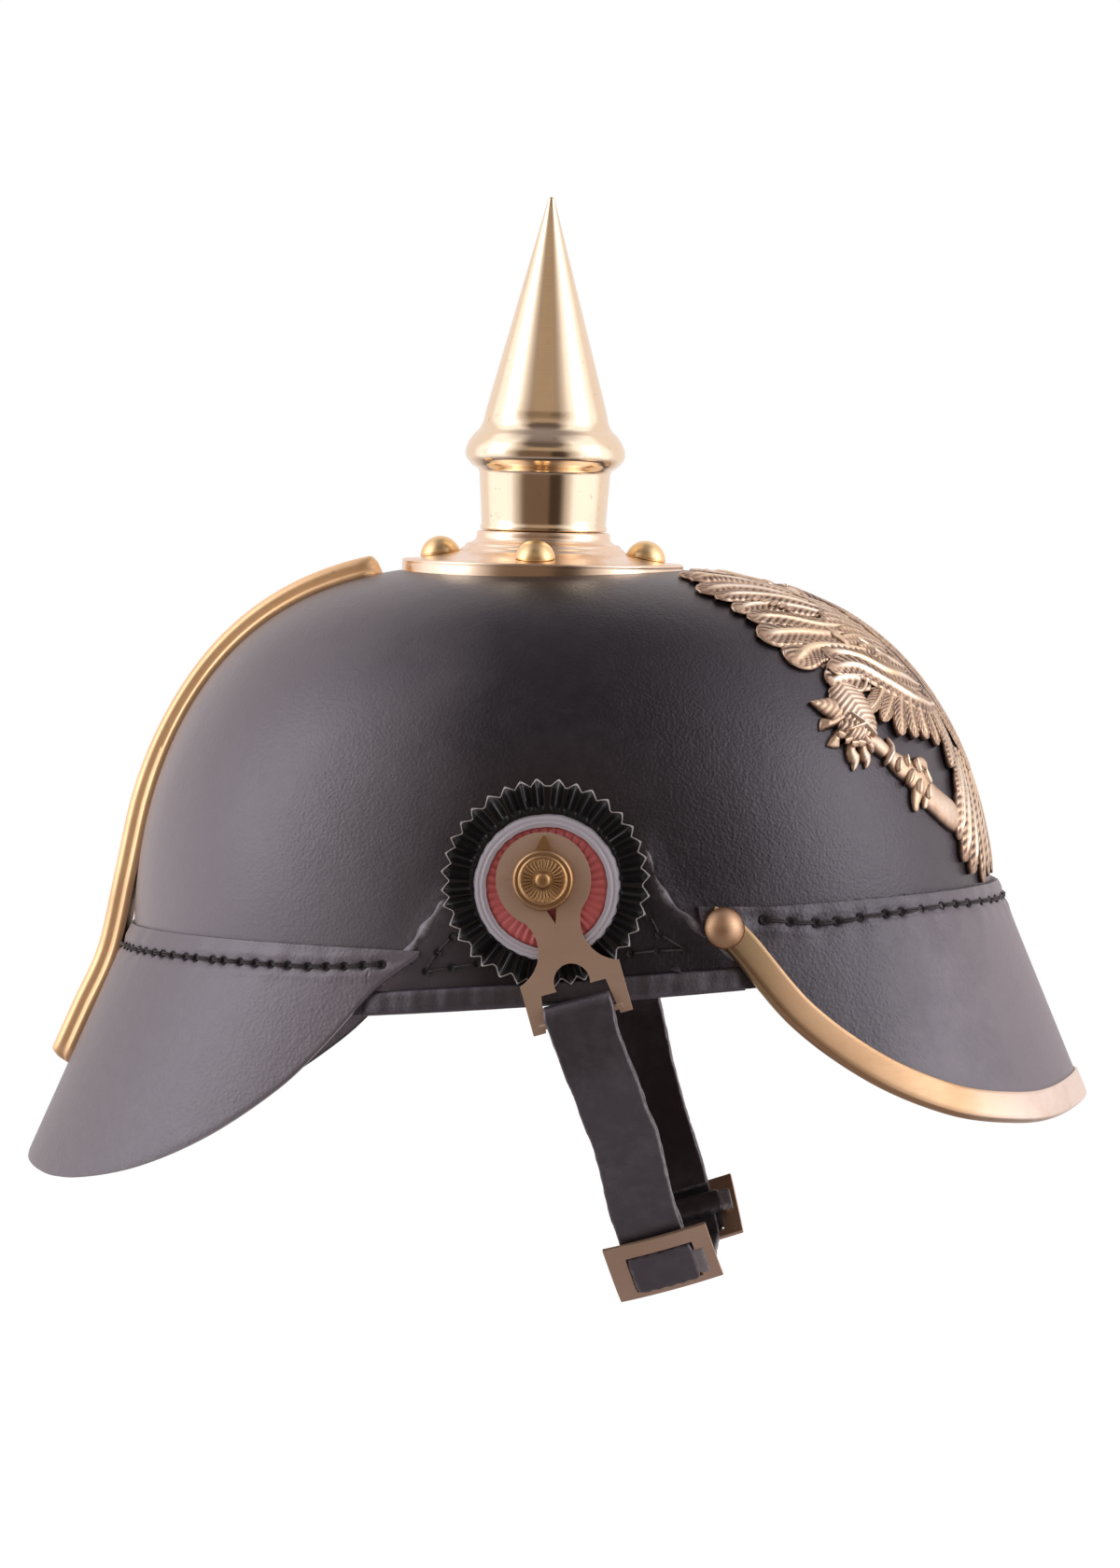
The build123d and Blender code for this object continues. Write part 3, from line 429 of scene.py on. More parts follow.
def leather_finish(name, fresh, worn, roughness, grain, depth, wear=0.35, gloss=1.75, painted_light_zones=None):
    """Waxed leather: pebbled grain in patches, faint creases, dull rubbed places, and, if zones are given, a
    painted sheen that lightens it along the helmet.
    """
    add, finish = new_finish(name)
    place = object_place(add)
    pores = add("TexVoronoi", {"feature": "SMOOTH_F1"}, Vector=place, Scale=grain).outputs["Distance"]
    fine = noise(add, grain * 2.2, 4.0)
    cloud = noise(add, 24.0, 5.0, 0.6)
    patches = noise(add, 13.0, 2.0, 0.5)
    crease = noise(add, 230.0, 6.0, 0.7)
    rubbed = ramp(add, sums(add, "MULTIPLY", cloud, crease), (0.2, 0.0), (0.4, 1.0))
    grained = sums(add, "MULTIPLY", pores, ramp(add, patches, (0.35, 0.35), (0.65, 1.0)))
    height = add_share(add, add_share(add, grained, fine, 0.45), crease, 0.8)
    broken = ramp(add, noise(add, 420.0, 5.0, 0.7), (0.38, 0.15), (0.62, 1.0))
    worn_line = sums(add, "MULTIPLY", relief_level(add), broken)
    factor = sums(add, "MAXIMUM", sums(add, "MULTIPLY", rubbed, wear), worn_line)
    # Painted sheen: the zones lighten the leather toward its worn colour along the helmet, on top of its wear
    if painted_light_zones:
        factor = add_share(add, along_helmet(add, painted_light_zones, cloud), factor, 0.7)
    return finish(Base_Color=blend_colours(add, factor, fresh, worn), Normal=bumps(add, height, depth, 0.7),
                  Roughness=spread_over(add, cloud, *roughness), IOR=gloss, Specular_IOR_Level=0.5,
                  Specular_Tint=LEATHER_SHEEN)


def brass_finish(name, clean, tarnish, roughness, tarnished, scratches=0.00002, scale=30.0, painted_light_zones=None):
    """Brass: clouds of tarnish, fine polishing scratches and small pits, and, if zones are given, a painted
    highlight and shade in tones along the helmet.
    """
    add, finish = new_finish(name)
    cloud = noise(add, scale, 6.0, 0.6)
    specks = noise(add, 420.0, 3.0, 0.6)
    lines = noise(add, 180.0, 3.0, 0.6, object_place(add, (1, 1, 14), (0.2, 0.1, 0)))
    dull = ramp(add, cloud, (0.42, 0.0), (0.68, 1.0))
    dark = ramp(add, specks, (0.64, 0.0), (0.74, 1.0))
    factor = sums(add, "MAXIMUM", sums(add, "MULTIPLY", dull, tarnished), sums(add, "MULTIPLY", dark, 0.35))
    streaks = add_share(add, sums(add, "MULTIPLY", lines, 0.6), cloud, 0.4)
    # Painted highlight and shade: the clean colour follows tones along the helmet
    if painted_light_zones:
        clean = along_helmet(add, painted_light_zones)
    return finish(Base_Color=blend_colours(add, factor, clean, tarnish), Metallic=1.0,
                  Roughness=spread_over(add, streaks, roughness * 0.7, roughness * 1.5),
                  Normal=bumps(add, add_share(add, lines, specks, 0.4), scratches, 0.5))


def plate_finish(name, bright, middle, dark):
    """Cast and darkened brass: bright on its ridges and brown in its recesses."""
    add, finish = new_finish(name)
    low, high = 0.16, 0.95
    cloud = noise(add, 90.0, 5.0, 0.6)
    specks = noise(add, 700.0, 3.0, 0.6)
    level = add_swing(add, add_swing(add, relief_level(add), cloud, 0.55), specks, 0.25)
    gilt = ramp(add, noise(add, 55.0, 3.0, 0.5), (0.45, 0.0), (0.6, 0.75))
    golden = (bright[0] * 0.94, bright[1] * 0.8, bright[2] * 0.6, 1)
    shine = blend_colours(add, gilt, bright, golden)
    colour = ramp(add, level, (low, dark), ((low + high) * 0.46, middle), (high, middle))
    colour = blend_colours(add, ramp(add, level, ((low + high) * 0.42, 0.0), (high, 1.0)), colour, shine)
    return finish(Base_Color=colour, Metallic=1.0, Roughness=ramp(add, level, (low, 0.6), (high, 0.36)),
                  Normal=bumps(add, specks, 0.00006, 0.6))


def lacquer_finish(name, colour, worn, roughness, edge):
    """Lacquered tin, pale where its relief is high: worn along its raised edges, and painted highlights where a
    piece's relief marks them.
    """
    add, finish = new_finish(name)
    chips = noise(add, 260.0, 5.0, 0.65)
    cloud = noise(add, 60.0, 4.0, 0.6)
    level = add_swing(add, relief_level(add), chips, 0.7)
    factor = ramp(add, level, (edge, 0.0), (min(edge + 0.12, 1.0), 1.0))
    return finish(Base_Color=blend_colours(add, factor, colour, worn),
                  Roughness=spread_over(add, cloud, roughness, roughness * 2),
                  Normal=bumps(add, sums(add, "ADD", chips, cloud), 0.00007, 0.6))


def cloth_finish(name, colour, dark):
    """Twisted cotton."""
    add, finish = new_finish(name)
    twist = add("TexWave", {"bands_direction": "DIAGONAL"}, Vector=object_place(add), Scale=320.0,
                Distortion=2.0).outputs["Fac"]
    cloud = noise(add, 90.0)
    normal = add("Bump", Height=twist, Distance=0.0003).outputs["Normal"]
    return finish(Base_Color=blend_colours(add, sums(add, "MULTIPLY", twist, cloud), dark, colour),
                  Roughness=0.9, Normal=normal)


LEATHER_SHEEN = (0.93, 0.88, 1.0, 1)
# Painted sheen: millimetres to the front of the middle, and how far the leather there is painted lighter toward
# its worn colour, where the soft boxes' reflections fall
SHELL_SHEEN_ZONES = ((-110, 0.94), (-50, 0.42), (-16, 0.02), (50, 0.02), (92, 0.25))
VISOR_SHEEN_ZONES = ((-130, 0.7), (-55, 0.5), (50, 0.0), (90, 0.02), (122, 0.95))
# The trim's painted shade toward its studs and its painted pinkish highlight at its tips
TRIM_SHADED_END, TRIM_HIGHLIGHT_TIP = (0.36, 0.29, 0.17, 1), (0.9, 0.77, 0.68, 1)
LEATHERS = (
    # finish, name, colour, worn colour (also the painted sheen's colour), roughness, grain per metre, its depth,
    # wear, gloss, zones of painted sheen
    ("shell", "shell leather", "shell", "rubbed", (0.27, 0.38), 1250.0, 0.00016, 0.08, 1.62, SHELL_SHEEN_ZONES),
    ("visor", "visor leather", "visor", "rubbed", (0.34, 0.46), 1100.0, 0.0002, 0.2, 1.78, VISOR_SHEEN_ZONES),
    ("strap", "strap leather", "strap", "worn_edge", (0.34, 0.48), 1300.0, 0.00014, 0.22, 1.9),
    ("patch", "patch leather", "strap", "rubbed", (0.45, 0.6), 900.0, 0.0002),
    ("liner", "liner leather", "lining", "lining_worn", (0.5, 0.7), 1000.0, 0.0002, 0.7, 1.5),
    ("thread", "waxed thread", "thread", "rubbed", (0.5, 0.65), 2500.0, 0.0002, 0.25, 1.5),
    ("hole", "stitch hole", "pit", "pit_rim", (0.7, 0.9), 1500.0, 0.0001),
    ("suede", "cut leather edge", "cut_edge", "cut_worn", (0.75, 0.9), 1500.0, 0.0004, 0.8, 1.4),
)
BRASSES = (
    # finish, name, colour, roughness, share tarnished, depth of its scratches
    ("polished", "polished brass", "polished", 0.13, 0.12),
    ("disc", "copper toned brass", "disc", 0.2, 0.25),
    ("golden", "golden brass", "golden", 0.32, 0.25, 0.00001),
    ("spine", "spine brass", "spine", 0.45, 0.35, 0.000004),
    ("sheet", "sheet brass", "sheet", 0.56, 0.25, 0.00003),
    ("dull", "dull brass", "dull", 0.42, 0.5, 0.00004),
)
FINISHES = {}


def colours_of(group):
    """The colours of a group of settings, each with its alpha."""
    return {key: (*getattr(group, key), 1) for key in type(group).__annotations__}


def make_finishes(looks):
    """Every finish of the helmet."""
    leather, brass, lacquer = colours_of(looks.leather), colours_of(looks.brass), colours_of(looks.cockade)
    for key, name, fresh, worn, *values in LEATHERS:
        FINISHES[key] = leather_finish(name, leather[fresh], leather[worn], *values)
    for key, name, clean, *values in BRASSES:
        FINISHES[key] = brass_finish(name, brass[clean], brass["tarnish"], *values)
    trim, dark = brass["trim"], brass["plate_dark"]
    trim_painted_light = ((50, TRIM_SHADED_END), (66, trim), (112, trim), (134, TRIM_HIGHLIGHT_TIP))
    FINISHES["trim"] = brass_finish("trim brass", trim, brass["tarnish"], 0.38, 0.6, 0.000008, 26.0, trim_painted_light)
    FINISHES["steel"] = brass_finish("blackened steel", brass["steel"], brass["rust"], 0.4, 0.6)
    FINISHES["rosette"] = plate_finish("rosette brass", trim, brass["rosette"], dark)
    FINISHES["plate"] = plate_finish("eagle plate brass", brass["plate_bright"], brass["plate"], dark)
    FINISHES["lace"] = cloth_finish("lace cotton", (0.42, 0.36, 0.27, 1), (0.16, 0.12, 0.08, 1))
    FINISHES["black"] = lacquer_finish("black lacquer", lacquer["black"], (0.4, 0.38, 0.37, 1), 0.2, 0.62)
    FINISHES["white"] = lacquer_finish("white lacquer", lacquer["white"], (0.5, 0.28, 0.32, 1), 0.3, 0.75)
    FINISHES["red"] = lacquer_finish("red lacquer", lacquer["red"], (0.5, 0.36, 0.34, 1), 0.3, 0.9)


# ---------------------------------------------------------------- shell
def make_shell(sizes):
    """The domed shell, cut to its rim line, with the dents that its side patches pull in."""
    bm = bmesh.new()
    outline = dome_outline(np.linspace(0.0005, math.pi / 2, 76))
    outline += [(SHELL_LENGTH, height) for height in (11, 8, 5, 2, -1, -4, -7, -10)]
    spin_outline(bm, outline, 320, squash=SHELL_WIDTH / SHELL_LENGTH)
    for x0, z0, x1, z1 in RIM_LINES:
        slope = Vector((z0 - z1, 0, x1 - x0)).normalized()
        bmesh.ops.bisect_plane(bm, geom=bm.verts[:] + bm.edges[:] + bm.faces[:],
                               plane_co=(x0 * MM, 0, z0 * MM), plane_no=-slope, clear_outer=True)
    points = np.array([vert.co for vert in bm.verts]) / MM
    sides = unit(points * (1 / SHELL_LENGTH, 1 / SHELL_WIDTH, 0))
    pull, rub_and_highlight = patch_pull(points[:, 0], points[:, 2])
    flank = np.abs(points[:, 1]) > 40
    layer = bm.verts.layers.float.new("relief")
    points = (points + sides * (pull * flank * sizes.dent_depth / MM)[:, None]) * MM
    # The creases' relief pales the leather: partly wear, partly a painted highlight
    for vert, point, worn in zip(bm.verts, points, rub_and_highlight * flank):
        vert.co = point
        vert[layer] = worn
    piece = finish_piece("shell_leather", bm, "shell", "helmet", "shell_leather", "shell", crease=50)
    add_wall(piece, SHELL_WALL, 0.6)


def line_distance(x, z, points):
    """Distance in the side view from a chain of points."""
    best = np.full(np.shape(x), 1e9)
    for (x0, z0), (x1, z1) in zip(points, points[1:]):
        run, rise = x1 - x0, z1 - z0
        share = np.clip(((x - x0) * run + (z - z0) * rise) / (run ** 2 + rise ** 2), 0, 1)
        best = np.minimum(best, np.hypot(x - x0 - share * run, z - z0 - share * rise))
    return best


PATCH_CREASES = (((-24, 28), (-34, 13), (-42, 2.5)), ((27, 43), (32.5, 30), (39, 24), (47, 17), (54, 11)))


def patch_pull(x, z):
    """How far the leather stands out or in beside the side patches, and how pale it is there: partly rubbed,
    partly a painted highlight along the creases.
    """
    lift, rub_and_highlight = np.zeros(np.shape(x)), np.zeros(np.shape(x))
    for crease in PATCH_CREASES:
        away = line_distance(x, z, crease)
        lift += 0.7 * bump_at(away, 3.0)
        rub_and_highlight += 0.35 * bump_at(away, 2.5)
    inside = soft_step(-40, -30, x) * (1 - soft_step(38, 50, x)) * (1 - soft_step(8, 30, z))
    return lift - 0.9 * inside, rub_and_highlight


PATCH_HOLES = (((-22.5, 17.3), (-26.5, 13), (-29.6, 7.8), (-22.8, 9.2), (-15.8, 10.5)),
               ((29.2, 24.1), (31.8, 19.5), (38.7, 15.5), (31.4, 15.1), (24.5, 14.3)))


def on_side(x, z, lift):
    """Points on the right side of the shell, lifted out of it."""
    x, z = np.asarray(x, float), np.asarray(z, float)
    points = np.stack([x, -side_depth(x, z), z], axis=-1)
    return points + dome_normal(points.reshape(-1, 3)).reshape(points.shape) * np.asarray(lift)[..., None]


def make_patch_ridges():
    """Sharp ridges where the shell's leather is drawn over the side patches' edges, pale along their crests:
    partly worn, partly a painted highlight.
    """
    bm = bmesh.new()
    for crease in PATCH_CREASES:
        flat = smooth_line([(x, 0, z) for x, z in crease], 61)
        line = on_side(flat[:, 0], flat[:, 2], np.zeros(61))
        ahead = unit(np.gradient(line, axis=0))
        out = dome_normal(line)
        side = np.cross(ahead, out)

        def place(u, v, line=line, out=out, side=side):
            index = np.rint(v * 60).astype(int)
            taper = rounded(2 * v - 1, 6) * (0.8 + 0.2 * np.sin(v * 23))
            turn = u * np.pi
            points = line[index] + side[index] * (1.9 * np.cos(turn) * taper)[:, None]
            points = points + out[index] * (0.85 * np.sin(turn) ** 2.5 * taper - 0.05)[:, None]
            # Pale crest: partly wear, partly a painted highlight along the ridge
            return points, 1.3 * bump_at(u - 0.5, 0.16) * taper

        lay_grid(bm, 14, 60, place)
    mirror_sides(bm)
    finish_piece("patch_ridges", bm, "strap", "helmet", "shell_leather", merge=1e-8)


def make_patch_stitches():
    """Stitches that hold the side patches, on both sides."""
    thread, pits = bmesh.new(), bmesh.new()
    for row in PATCH_HOLES:
        for start, end in zip(row, row[1:]):
            share = np.linspace(0.05, 0.95, 9)
            x = start[0] + (end[0] - start[0]) * share
            z = start[1] + (end[1] - start[1]) * share
            tube(thread, on_side(x, z, 0.25 - 1.0 * (2 * share - 1) ** 6), 0.34, 8)
        for x, z in row:
            place = on_side(np.array([x]), np.array([z]), np.array([0.3]))
            add_hole(pits, place[0], dome_normal(place)[0])
    for name, bm, finish in (("patch_thread", thread, "thread"), ("patch_holes", pits, "hole")):
        mirror_sides(bm)
        finish_piece(name, bm, finish, "helmet", "patch_leather")


# ---------------------------------------------------------------- visors
class Flare:
    """A visor's outer surface: straight lines from an oval on the shell to a wider one below."""

    def __init__(self, top, length, width, middle, foot, edge, ends):
        self.top, self.length, self.width, self.middle, self.foot = top, length, width, middle, foot
        line = smooth_line(edge, 240)
        self.edge = line[np.argsort(line[:, 0])]
        self.ends = ends

    def point(self, turn, share, lift=0.0):
        """Point at an angle round the oval and a share of the way down, lifted off the surface."""
        turn, share = np.broadcast_arrays(np.asarray(turn, float), np.asarray(share, float))
        half_length = SHELL_LENGTH + SEAT + share * (self.length - SHELL_LENGTH - SEAT)
        half_width = SHELL_WIDTH + SEAT + share * (self.width - SHELL_WIDTH - SEAT)
        x = share * self.middle + half_length * np.cos(turn)
        y = half_width * np.sin(turn)
        z = self.top - share * (self.top - self.foot)
        points = np.stack([x, y, z], axis=-1)
        if np.any(lift):
            points = points + self.normal(turn, share) * np.asarray(lift)[..., None]
        return points

    def normal(self, turn, share):
        """Direction out of the surface."""
        step = 1e-3
        round_ = self.point(turn + step, share) - self.point(turn - step, share)
        down = self.point(turn, share + step) - self.point(turn, share - step)
        out = unit(np.cross(down, round_))
        flip = np.sign(out[..., 1] * np.sin(turn) + out[..., 0] * np.cos(turn))
        return out * flip[..., None]

    def edge_share(self, turn, inset=0.0):
        """Share of the way down at which the free edge lies."""
        low, high = np.zeros(np.shape(turn)), np.full(np.shape(turn), 1.15)
        for _ in range(30):
            middle = (low + high) / 2
            place = self.point(turn, middle)
            below = place[..., 2] < np.interp(place[..., 0], self.edge[:, 0], self.edge[:, 1])
            high = np.where(below, middle, high)
            low = np.where(below, low, middle)
        return low - inset / abs(self.top - self.foot)

    def level_share(self, height):
        """Share of the way down at a height."""
        return (self.top - height) / (self.top - self.foot)

    def line_share(self, height, turn):
        """Share of the way down at a line round the shell, whose height depends on the place along it."""
        return self.level_share(height((SHELL_LENGTH + SEAT) * np.cos(turn)))

    def turns(self, count, ahead):
        """Angles from the right end to the left end."""
        half = math.pi - self.ends if not ahead else self.ends
        return np.linspace(-half, half, count) + (0 if ahead else math.pi)


FRONT = Flare(31.0, 138.6, 104.0, 8.0, -32.8,
              ((42, 19.5), (50, 14.6), (67.7, -5), (88.5, -19.6), (109.3, -28.5), (126, -31.6), (138, -31.4),
               (150, -26.5)), math.acos(0.345))
REAR = Flare(13.3, 128.5, 102.0, -18.0, -52.0,
             ((-31, 13.4), (-42.6, 4.4), (-55.8, -10.8), (-68.2, -23.1), (-87.6, -36.7), (-108.3, -46.5),
              (-128, -51.6), (-139, -51.6), (-152, -47.5)), math.acos(-0.262))


def front_top(x):
    """Height of the front visor's upper edge, which climbs to the front."""
    return np.interp(x, (59.5, 118), (27, 31))


def rear_top(x):
    """Height of the rear visor's upper edge, which is level."""
    return np.full(np.shape(x), REAR.top)


def front_seam(x):
    """Height of the front seam."""
    return np.interp(x, (40, 60, 66, 72, 78, 84, 96, 106, 117),
                     (24.5, 23.5, 22.9, 22.8, 23.4, 24.4, 25.7, 26.7, 26.8))


def rear_seam(x):
    """Height of the rear seam."""
    return np.interp(x, (-118, -60, -48, -42), (7.5, 7.7, 8.5, 9.3))


def seam_holes(flare, height, start, stop, pitch, seed):
    """Angles of a seam's holes from its right end round to its left end, a little uneven."""
    turns = np.linspace(start, stop, 900)
    points = flare.point(turns, flare.line_share(height, turns))
    run = np.concatenate([[0], np.cumsum(np.linalg.norm(np.diff(points, axis=0), axis=1))])
    count = int(round(run[-1] / pitch))
    places = np.linspace(0, run[-1], count + 1)
    uneven = np.random.default_rng(seed).uniform(-0.12, 0.12, count + 1) * pitch
    return np.interp(places + uneven, run, turns)


VISOR_LEATHER = 2.2
VISOR_AROUND, VISOR_DOWN = 540, 80


def hole_pull(points, holes, seam):
    """How a seam pulls the leather in at its holes, and along its line."""
    pull = np.zeros(len(points))
    for hole in holes:
        away = np.linalg.norm(points - hole, axis=1)
        pull -= 0.75 * bump_at(away, 1.0) + 0.22 * bump_at(away, 2.6)
    across = np.abs(points[:, 2] - seam(points[:, 0]))
    return pull - 0.22 * bump_at(across, 1.3) + 0.16 * bump_at(across - 2.6, 1.1)


def make_visor(name, flare, ahead, top, seam, holes, inset, node, wrinkles):
    """One visor: flared leather from the seam on the shell to its edge, pulled in at its stitches."""
    bm = bmesh.new()
    turns = flare.turns(VISOR_AROUND + 1, ahead)
    free = flare.edge_share(turns, inset)
    upper = flare.line_share(top, turns)
    marks = flare.point(holes, flare.line_share(seam, holes))

    def place(u, v):
        turn = np.interp(u, np.linspace(0, 1, VISOR_AROUND + 1), turns)
        first = np.interp(turn, turns, upper)
        last = np.interp(turn, turns, free)
        share = first + (last - first) * np.where(v < 0.5, v * 0.5, 0.25 + (v - 0.5) * 1.5)
        share = np.where(last - first < 0.25, first + (last - first) * v, share)
        points = flare.point(turn, share)
        lift = hole_pull(points, marks, seam) * soft_step(0, 0.12, last - share)
        edge = (last - share) * abs(flare.top - flare.foot)
        lift = lift - 0.3 * (1 - soft_step(0.0, 1.6, edge)) * (not ahead)
        wave = np.sin(turn * 37 + 1.3 * np.sin(turn * 11)) + 0.6 * np.sin(turn * 71 + share * 9)
        lift = lift + wrinkles * wave * bump_at((share - first) * 60 - 4, 5.0)
        return points + flare.normal(turn, share) * lift[:, None]

    lay_grid(bm, VISOR_AROUND, VISOR_DOWN, place)
    piece = finish_piece(name, bm, "visor", "helmet", "visor_leather", node, crease=60, merge=1e-7)
    add_wall(piece, VISOR_LEATHER, 0.55)


def thread_line(flare, seam, holes, index, side):
    """One strand of a stitch, from a hole over the leather to the next one."""
    share = np.linspace(0, 1, 9)
    turn = holes[index] + (holes[index + 1] - holes[index]) * (0.04 + 0.92 * share)
    level = flare.line_share(seam, turn)
    lift = 0.4 - 1.9 * (2 * share - 1) ** 4 * (np.abs(2 * share - 1) > 0.4)
    sway = side * 0.3 * np.sin(share * np.pi) ** 0.6
    points = flare.point(turn, level) + flare.normal(turn, level) * lift[:, None]
    points[:, 2] += sway
    return points


def make_stitches(name, flare, seam, holes, skip, sizes):
    """A seam of doubled waxed thread."""
    bm = bmesh.new()
    for index in range(len(holes) - 1):
        middle = flare.point((holes[index] + holes[index + 1]) / 2, 0.1)
        if skip(middle):
            continue
        for side in (-1, 1):
            tube(bm, thread_line(flare, seam, holes, index, side), sizes.thread_width / MM / 2, 8)
    finish_piece(name, bm, "thread", "helmet", "visor_leather")
    bm = bmesh.new()
    for hole in holes:
        level = flare.line_share(seam, hole)
        place = flare.point(hole, level, 0.02)
        add_hole(bm, place, flare.normal(np.array(hole), np.array(level)))
    finish_piece(name + "_holes", bm, "hole", "helmet", "visor_leather")


def add_hole(bm, place, out):
    """A small dark pit, as a shallow cup below its rim."""
    outline = [(1.15, -0.2), (0.95, -0.36), (0.6, -0.75), (0.01, -0.95)]
    spin_outline(bm, outline, 12, facing(place, out))


# ---------------------------------------------------------------- brass trim, spine and welt
TRIM_POINTS = 460
TRIM_STUD_X, TRIM_STUD_Z, TRIM_STUD_LIFT = 48.5, 21.3, 0.85


def make_trim():
    """Brass channel folded over the front visor's edge."""
    bm = bmesh.new()
    turns = FRONT.turns(TRIM_POINTS + 1, True)
    share = FRONT.edge_share(turns, 1.0)
    edge = FRONT.point(turns, share)
    along = unit(np.gradient(edge, axis=0))
    out = FRONT.normal(turns, share)
    inward = np.cross(out, along)
    inward *= np.sign(inward[:, 2:3])
    fold = [(1.1 - 1.1 * math.sin(turn), -1.1 + 1.9 * math.cos(turn))
            for turn in np.linspace(0.2, math.pi, 12)]
    section = [(8.1, 0.02), (8.22, 0.3), (8.14, 0.62), (7.9, 0.78), (7.0, 0.84), (5.4, 0.88), (3.8, 0.9),
               (2.2, 0.88), *fold, (4, -3.02), (6, -3.02), (8.5, -3.0), (8.7, -2.8), (8.7, -2.25),
               (5, -2.22), (1.2, -2.2), (0.9, -1.1), (1.2, -0.02), (5, -0.0), (8.1, 0.02)]
    section = np.array(section)

    def place(u, v):
        index = np.rint(v * TRIM_POINTS).astype(int)
        depth, rise = section_at(section, u)
        return edge[index] + inward[index] * depth[:, None] + out[index] * rise[:, None]

    lay_grid(bm, len(section) - 1, TRIM_POINTS, place)
    piece = finish_piece("visor_trim", bm, "trim", "helmet", "trim_brass", "front_visor_trim",
                         crease=55, close=True)
    round_edges(piece, 0.12, 60)


def stud_outline(radius, rise):
    """Outline of a domed stud with a small rolled foot."""
    ball = (radius ** 2 + rise ** 2) / (2 * rise)
    turn = math.asin(min(1.0, radius * 0.985 / ball))
    top = rise - ball
    arc = [(ball * math.sin(part), top + ball * math.cos(part)) for part in np.linspace(0.002, turn, 22)]
    foot = [(radius, 0.42), (radius * 1.005, 0.1), (radius * 0.97, -0.2), (radius * 0.4, -0.25)]
    return [*arc, *foot, (0.02, -0.25)]


def make_trim_studs():
    """The two domed studs at the ends of the trim."""
    bm = bmesh.new()
    turns = np.linspace(-FRONT.ends - 0.1, -0.8, 400)
    level = FRONT.level_share(TRIM_STUD_Z)
    points = FRONT.point(turns, level)
    turn = turns[np.argmin(np.abs(points[:, 0] - TRIM_STUD_X))]
    out = FRONT.normal(np.array(turn), np.array(level))
    place = FRONT.point(turn, level) + out * TRIM_STUD_LIFT
    spin_outline(bm, stud_outline(5.5, 3.6), 64, facing(place, out))
    mirror_sides(bm)
    finish_piece("trim_studs", bm, "dull", "helmet", "golden_brass", "front_trim_studs", crease=40)


SPINE_LENGTH = 205


def spine_route():
    """Line down the middle of the shell's back and of the rear visor."""
    upper = [(-away, height) for away, height in dome_outline(np.radians(np.linspace(14.8, 74, 16)))]
    low = REAR.point(np.full(3, math.pi), REAR.level_share(np.array([4.0, -12.0, -27.0])))
    lower = [(-118.6, 24.0)] + [(x, z) for x, _, z in low]
    return smooth_line(upper + lower, 260)


def make_spine():
    """Brass spine: a flat flange with a round rib, rounded at both ends."""
    bm = bmesh.new()
    line = spine_route()
    ahead = unit(np.gradient(line, axis=0))
    out = np.stack([-np.abs(ahead[:, 1]), np.abs(ahead[:, 0])], axis=1)
    out = np.where((ahead[:, 1:2] < 0), np.stack([ahead[:, 1], -ahead[:, 0]], axis=1), out)
    half = [(8.0, 0.0), (8.05, 0.7), (7.8, 1.25), (7.2, 1.5), (6.0, 1.42), (5.0, 1.45), (4.6, 1.7),
            (4.45, 2.4)]
    half += [(4.4 * math.cos(turn) ** 0.75, 3.2 + 2.1 * math.sin(turn))
             for turn in np.linspace(0.02, math.pi / 2, 9)]
    far = [(-across, up) for across, up in half[-2::-1]]
    section = np.array(half + far + [(-7.8, -0.6), (7.8, -0.6), (8.0, 0.0)])

    def place(u, v):
        index = np.rint(v * (len(line) - 1)).astype(int)
        away = np.minimum(v, 1 - v) * SPINE_LENGTH
        round_ = rounded(1 - np.clip(away / 7.0, 0, 1))
        across, rise = section_at(section, u)
        rise = rise * np.clip(round_ * 1.3, 0.05, 1)
        rise = rise * (1 + 0.14 * soft_step(0.35, 0.6, v))
        base = line[index] + out[index] * rise[:, None]
        return np.stack([base[:, 0], across * round_, base[:, 1]], axis=1)

    lay_grid(bm, len(section) - 1, len(line) - 1, place)
    finish_piece("back_spine", bm, "spine", "helmet", "trim_brass", "rear_spine", crease=45)


WELT_START, WELT_RUN = -46.5, 101.0


def make_welt():
    """Leather band rolled over the rim on each side, between the visors."""
    bm = bmesh.new()
    section = np.array([(-0.2, -2.4), (-0.35, -0.2), (-0.1, 0.9), (0.8, 1.5), (2.0, 1.45), (4.2, 1.3),
                        (5.3, 1.15), (5.9, 0.8), (6.1, 0.3), (5.9, -0.1), (3.0, -0.2), (0.4, -0.4),
                        (-0.2, -2.4)])

    def place(u, v):
        x = WELT_START + WELT_RUN * v
        up, depth = section_at(section, u)
        height = rim_height(x) + up
        end = rounded(2 * v - 1, 30)
        wave = 0.1 * np.sin(v * 60) + 0.06 * np.sin(v * 143 + 1)
        side = side_depth(x, np.maximum(height, -4)) + depth * end + wave
        return np.stack([x, -side, height], axis=1)

    lay_grid(bm, len(section) - 1, 130, place)
    mirror_sides(bm)
    finish_piece("rim_band", bm, "strap", "helmet", "visor_leather", "rim_welt", crease=70)


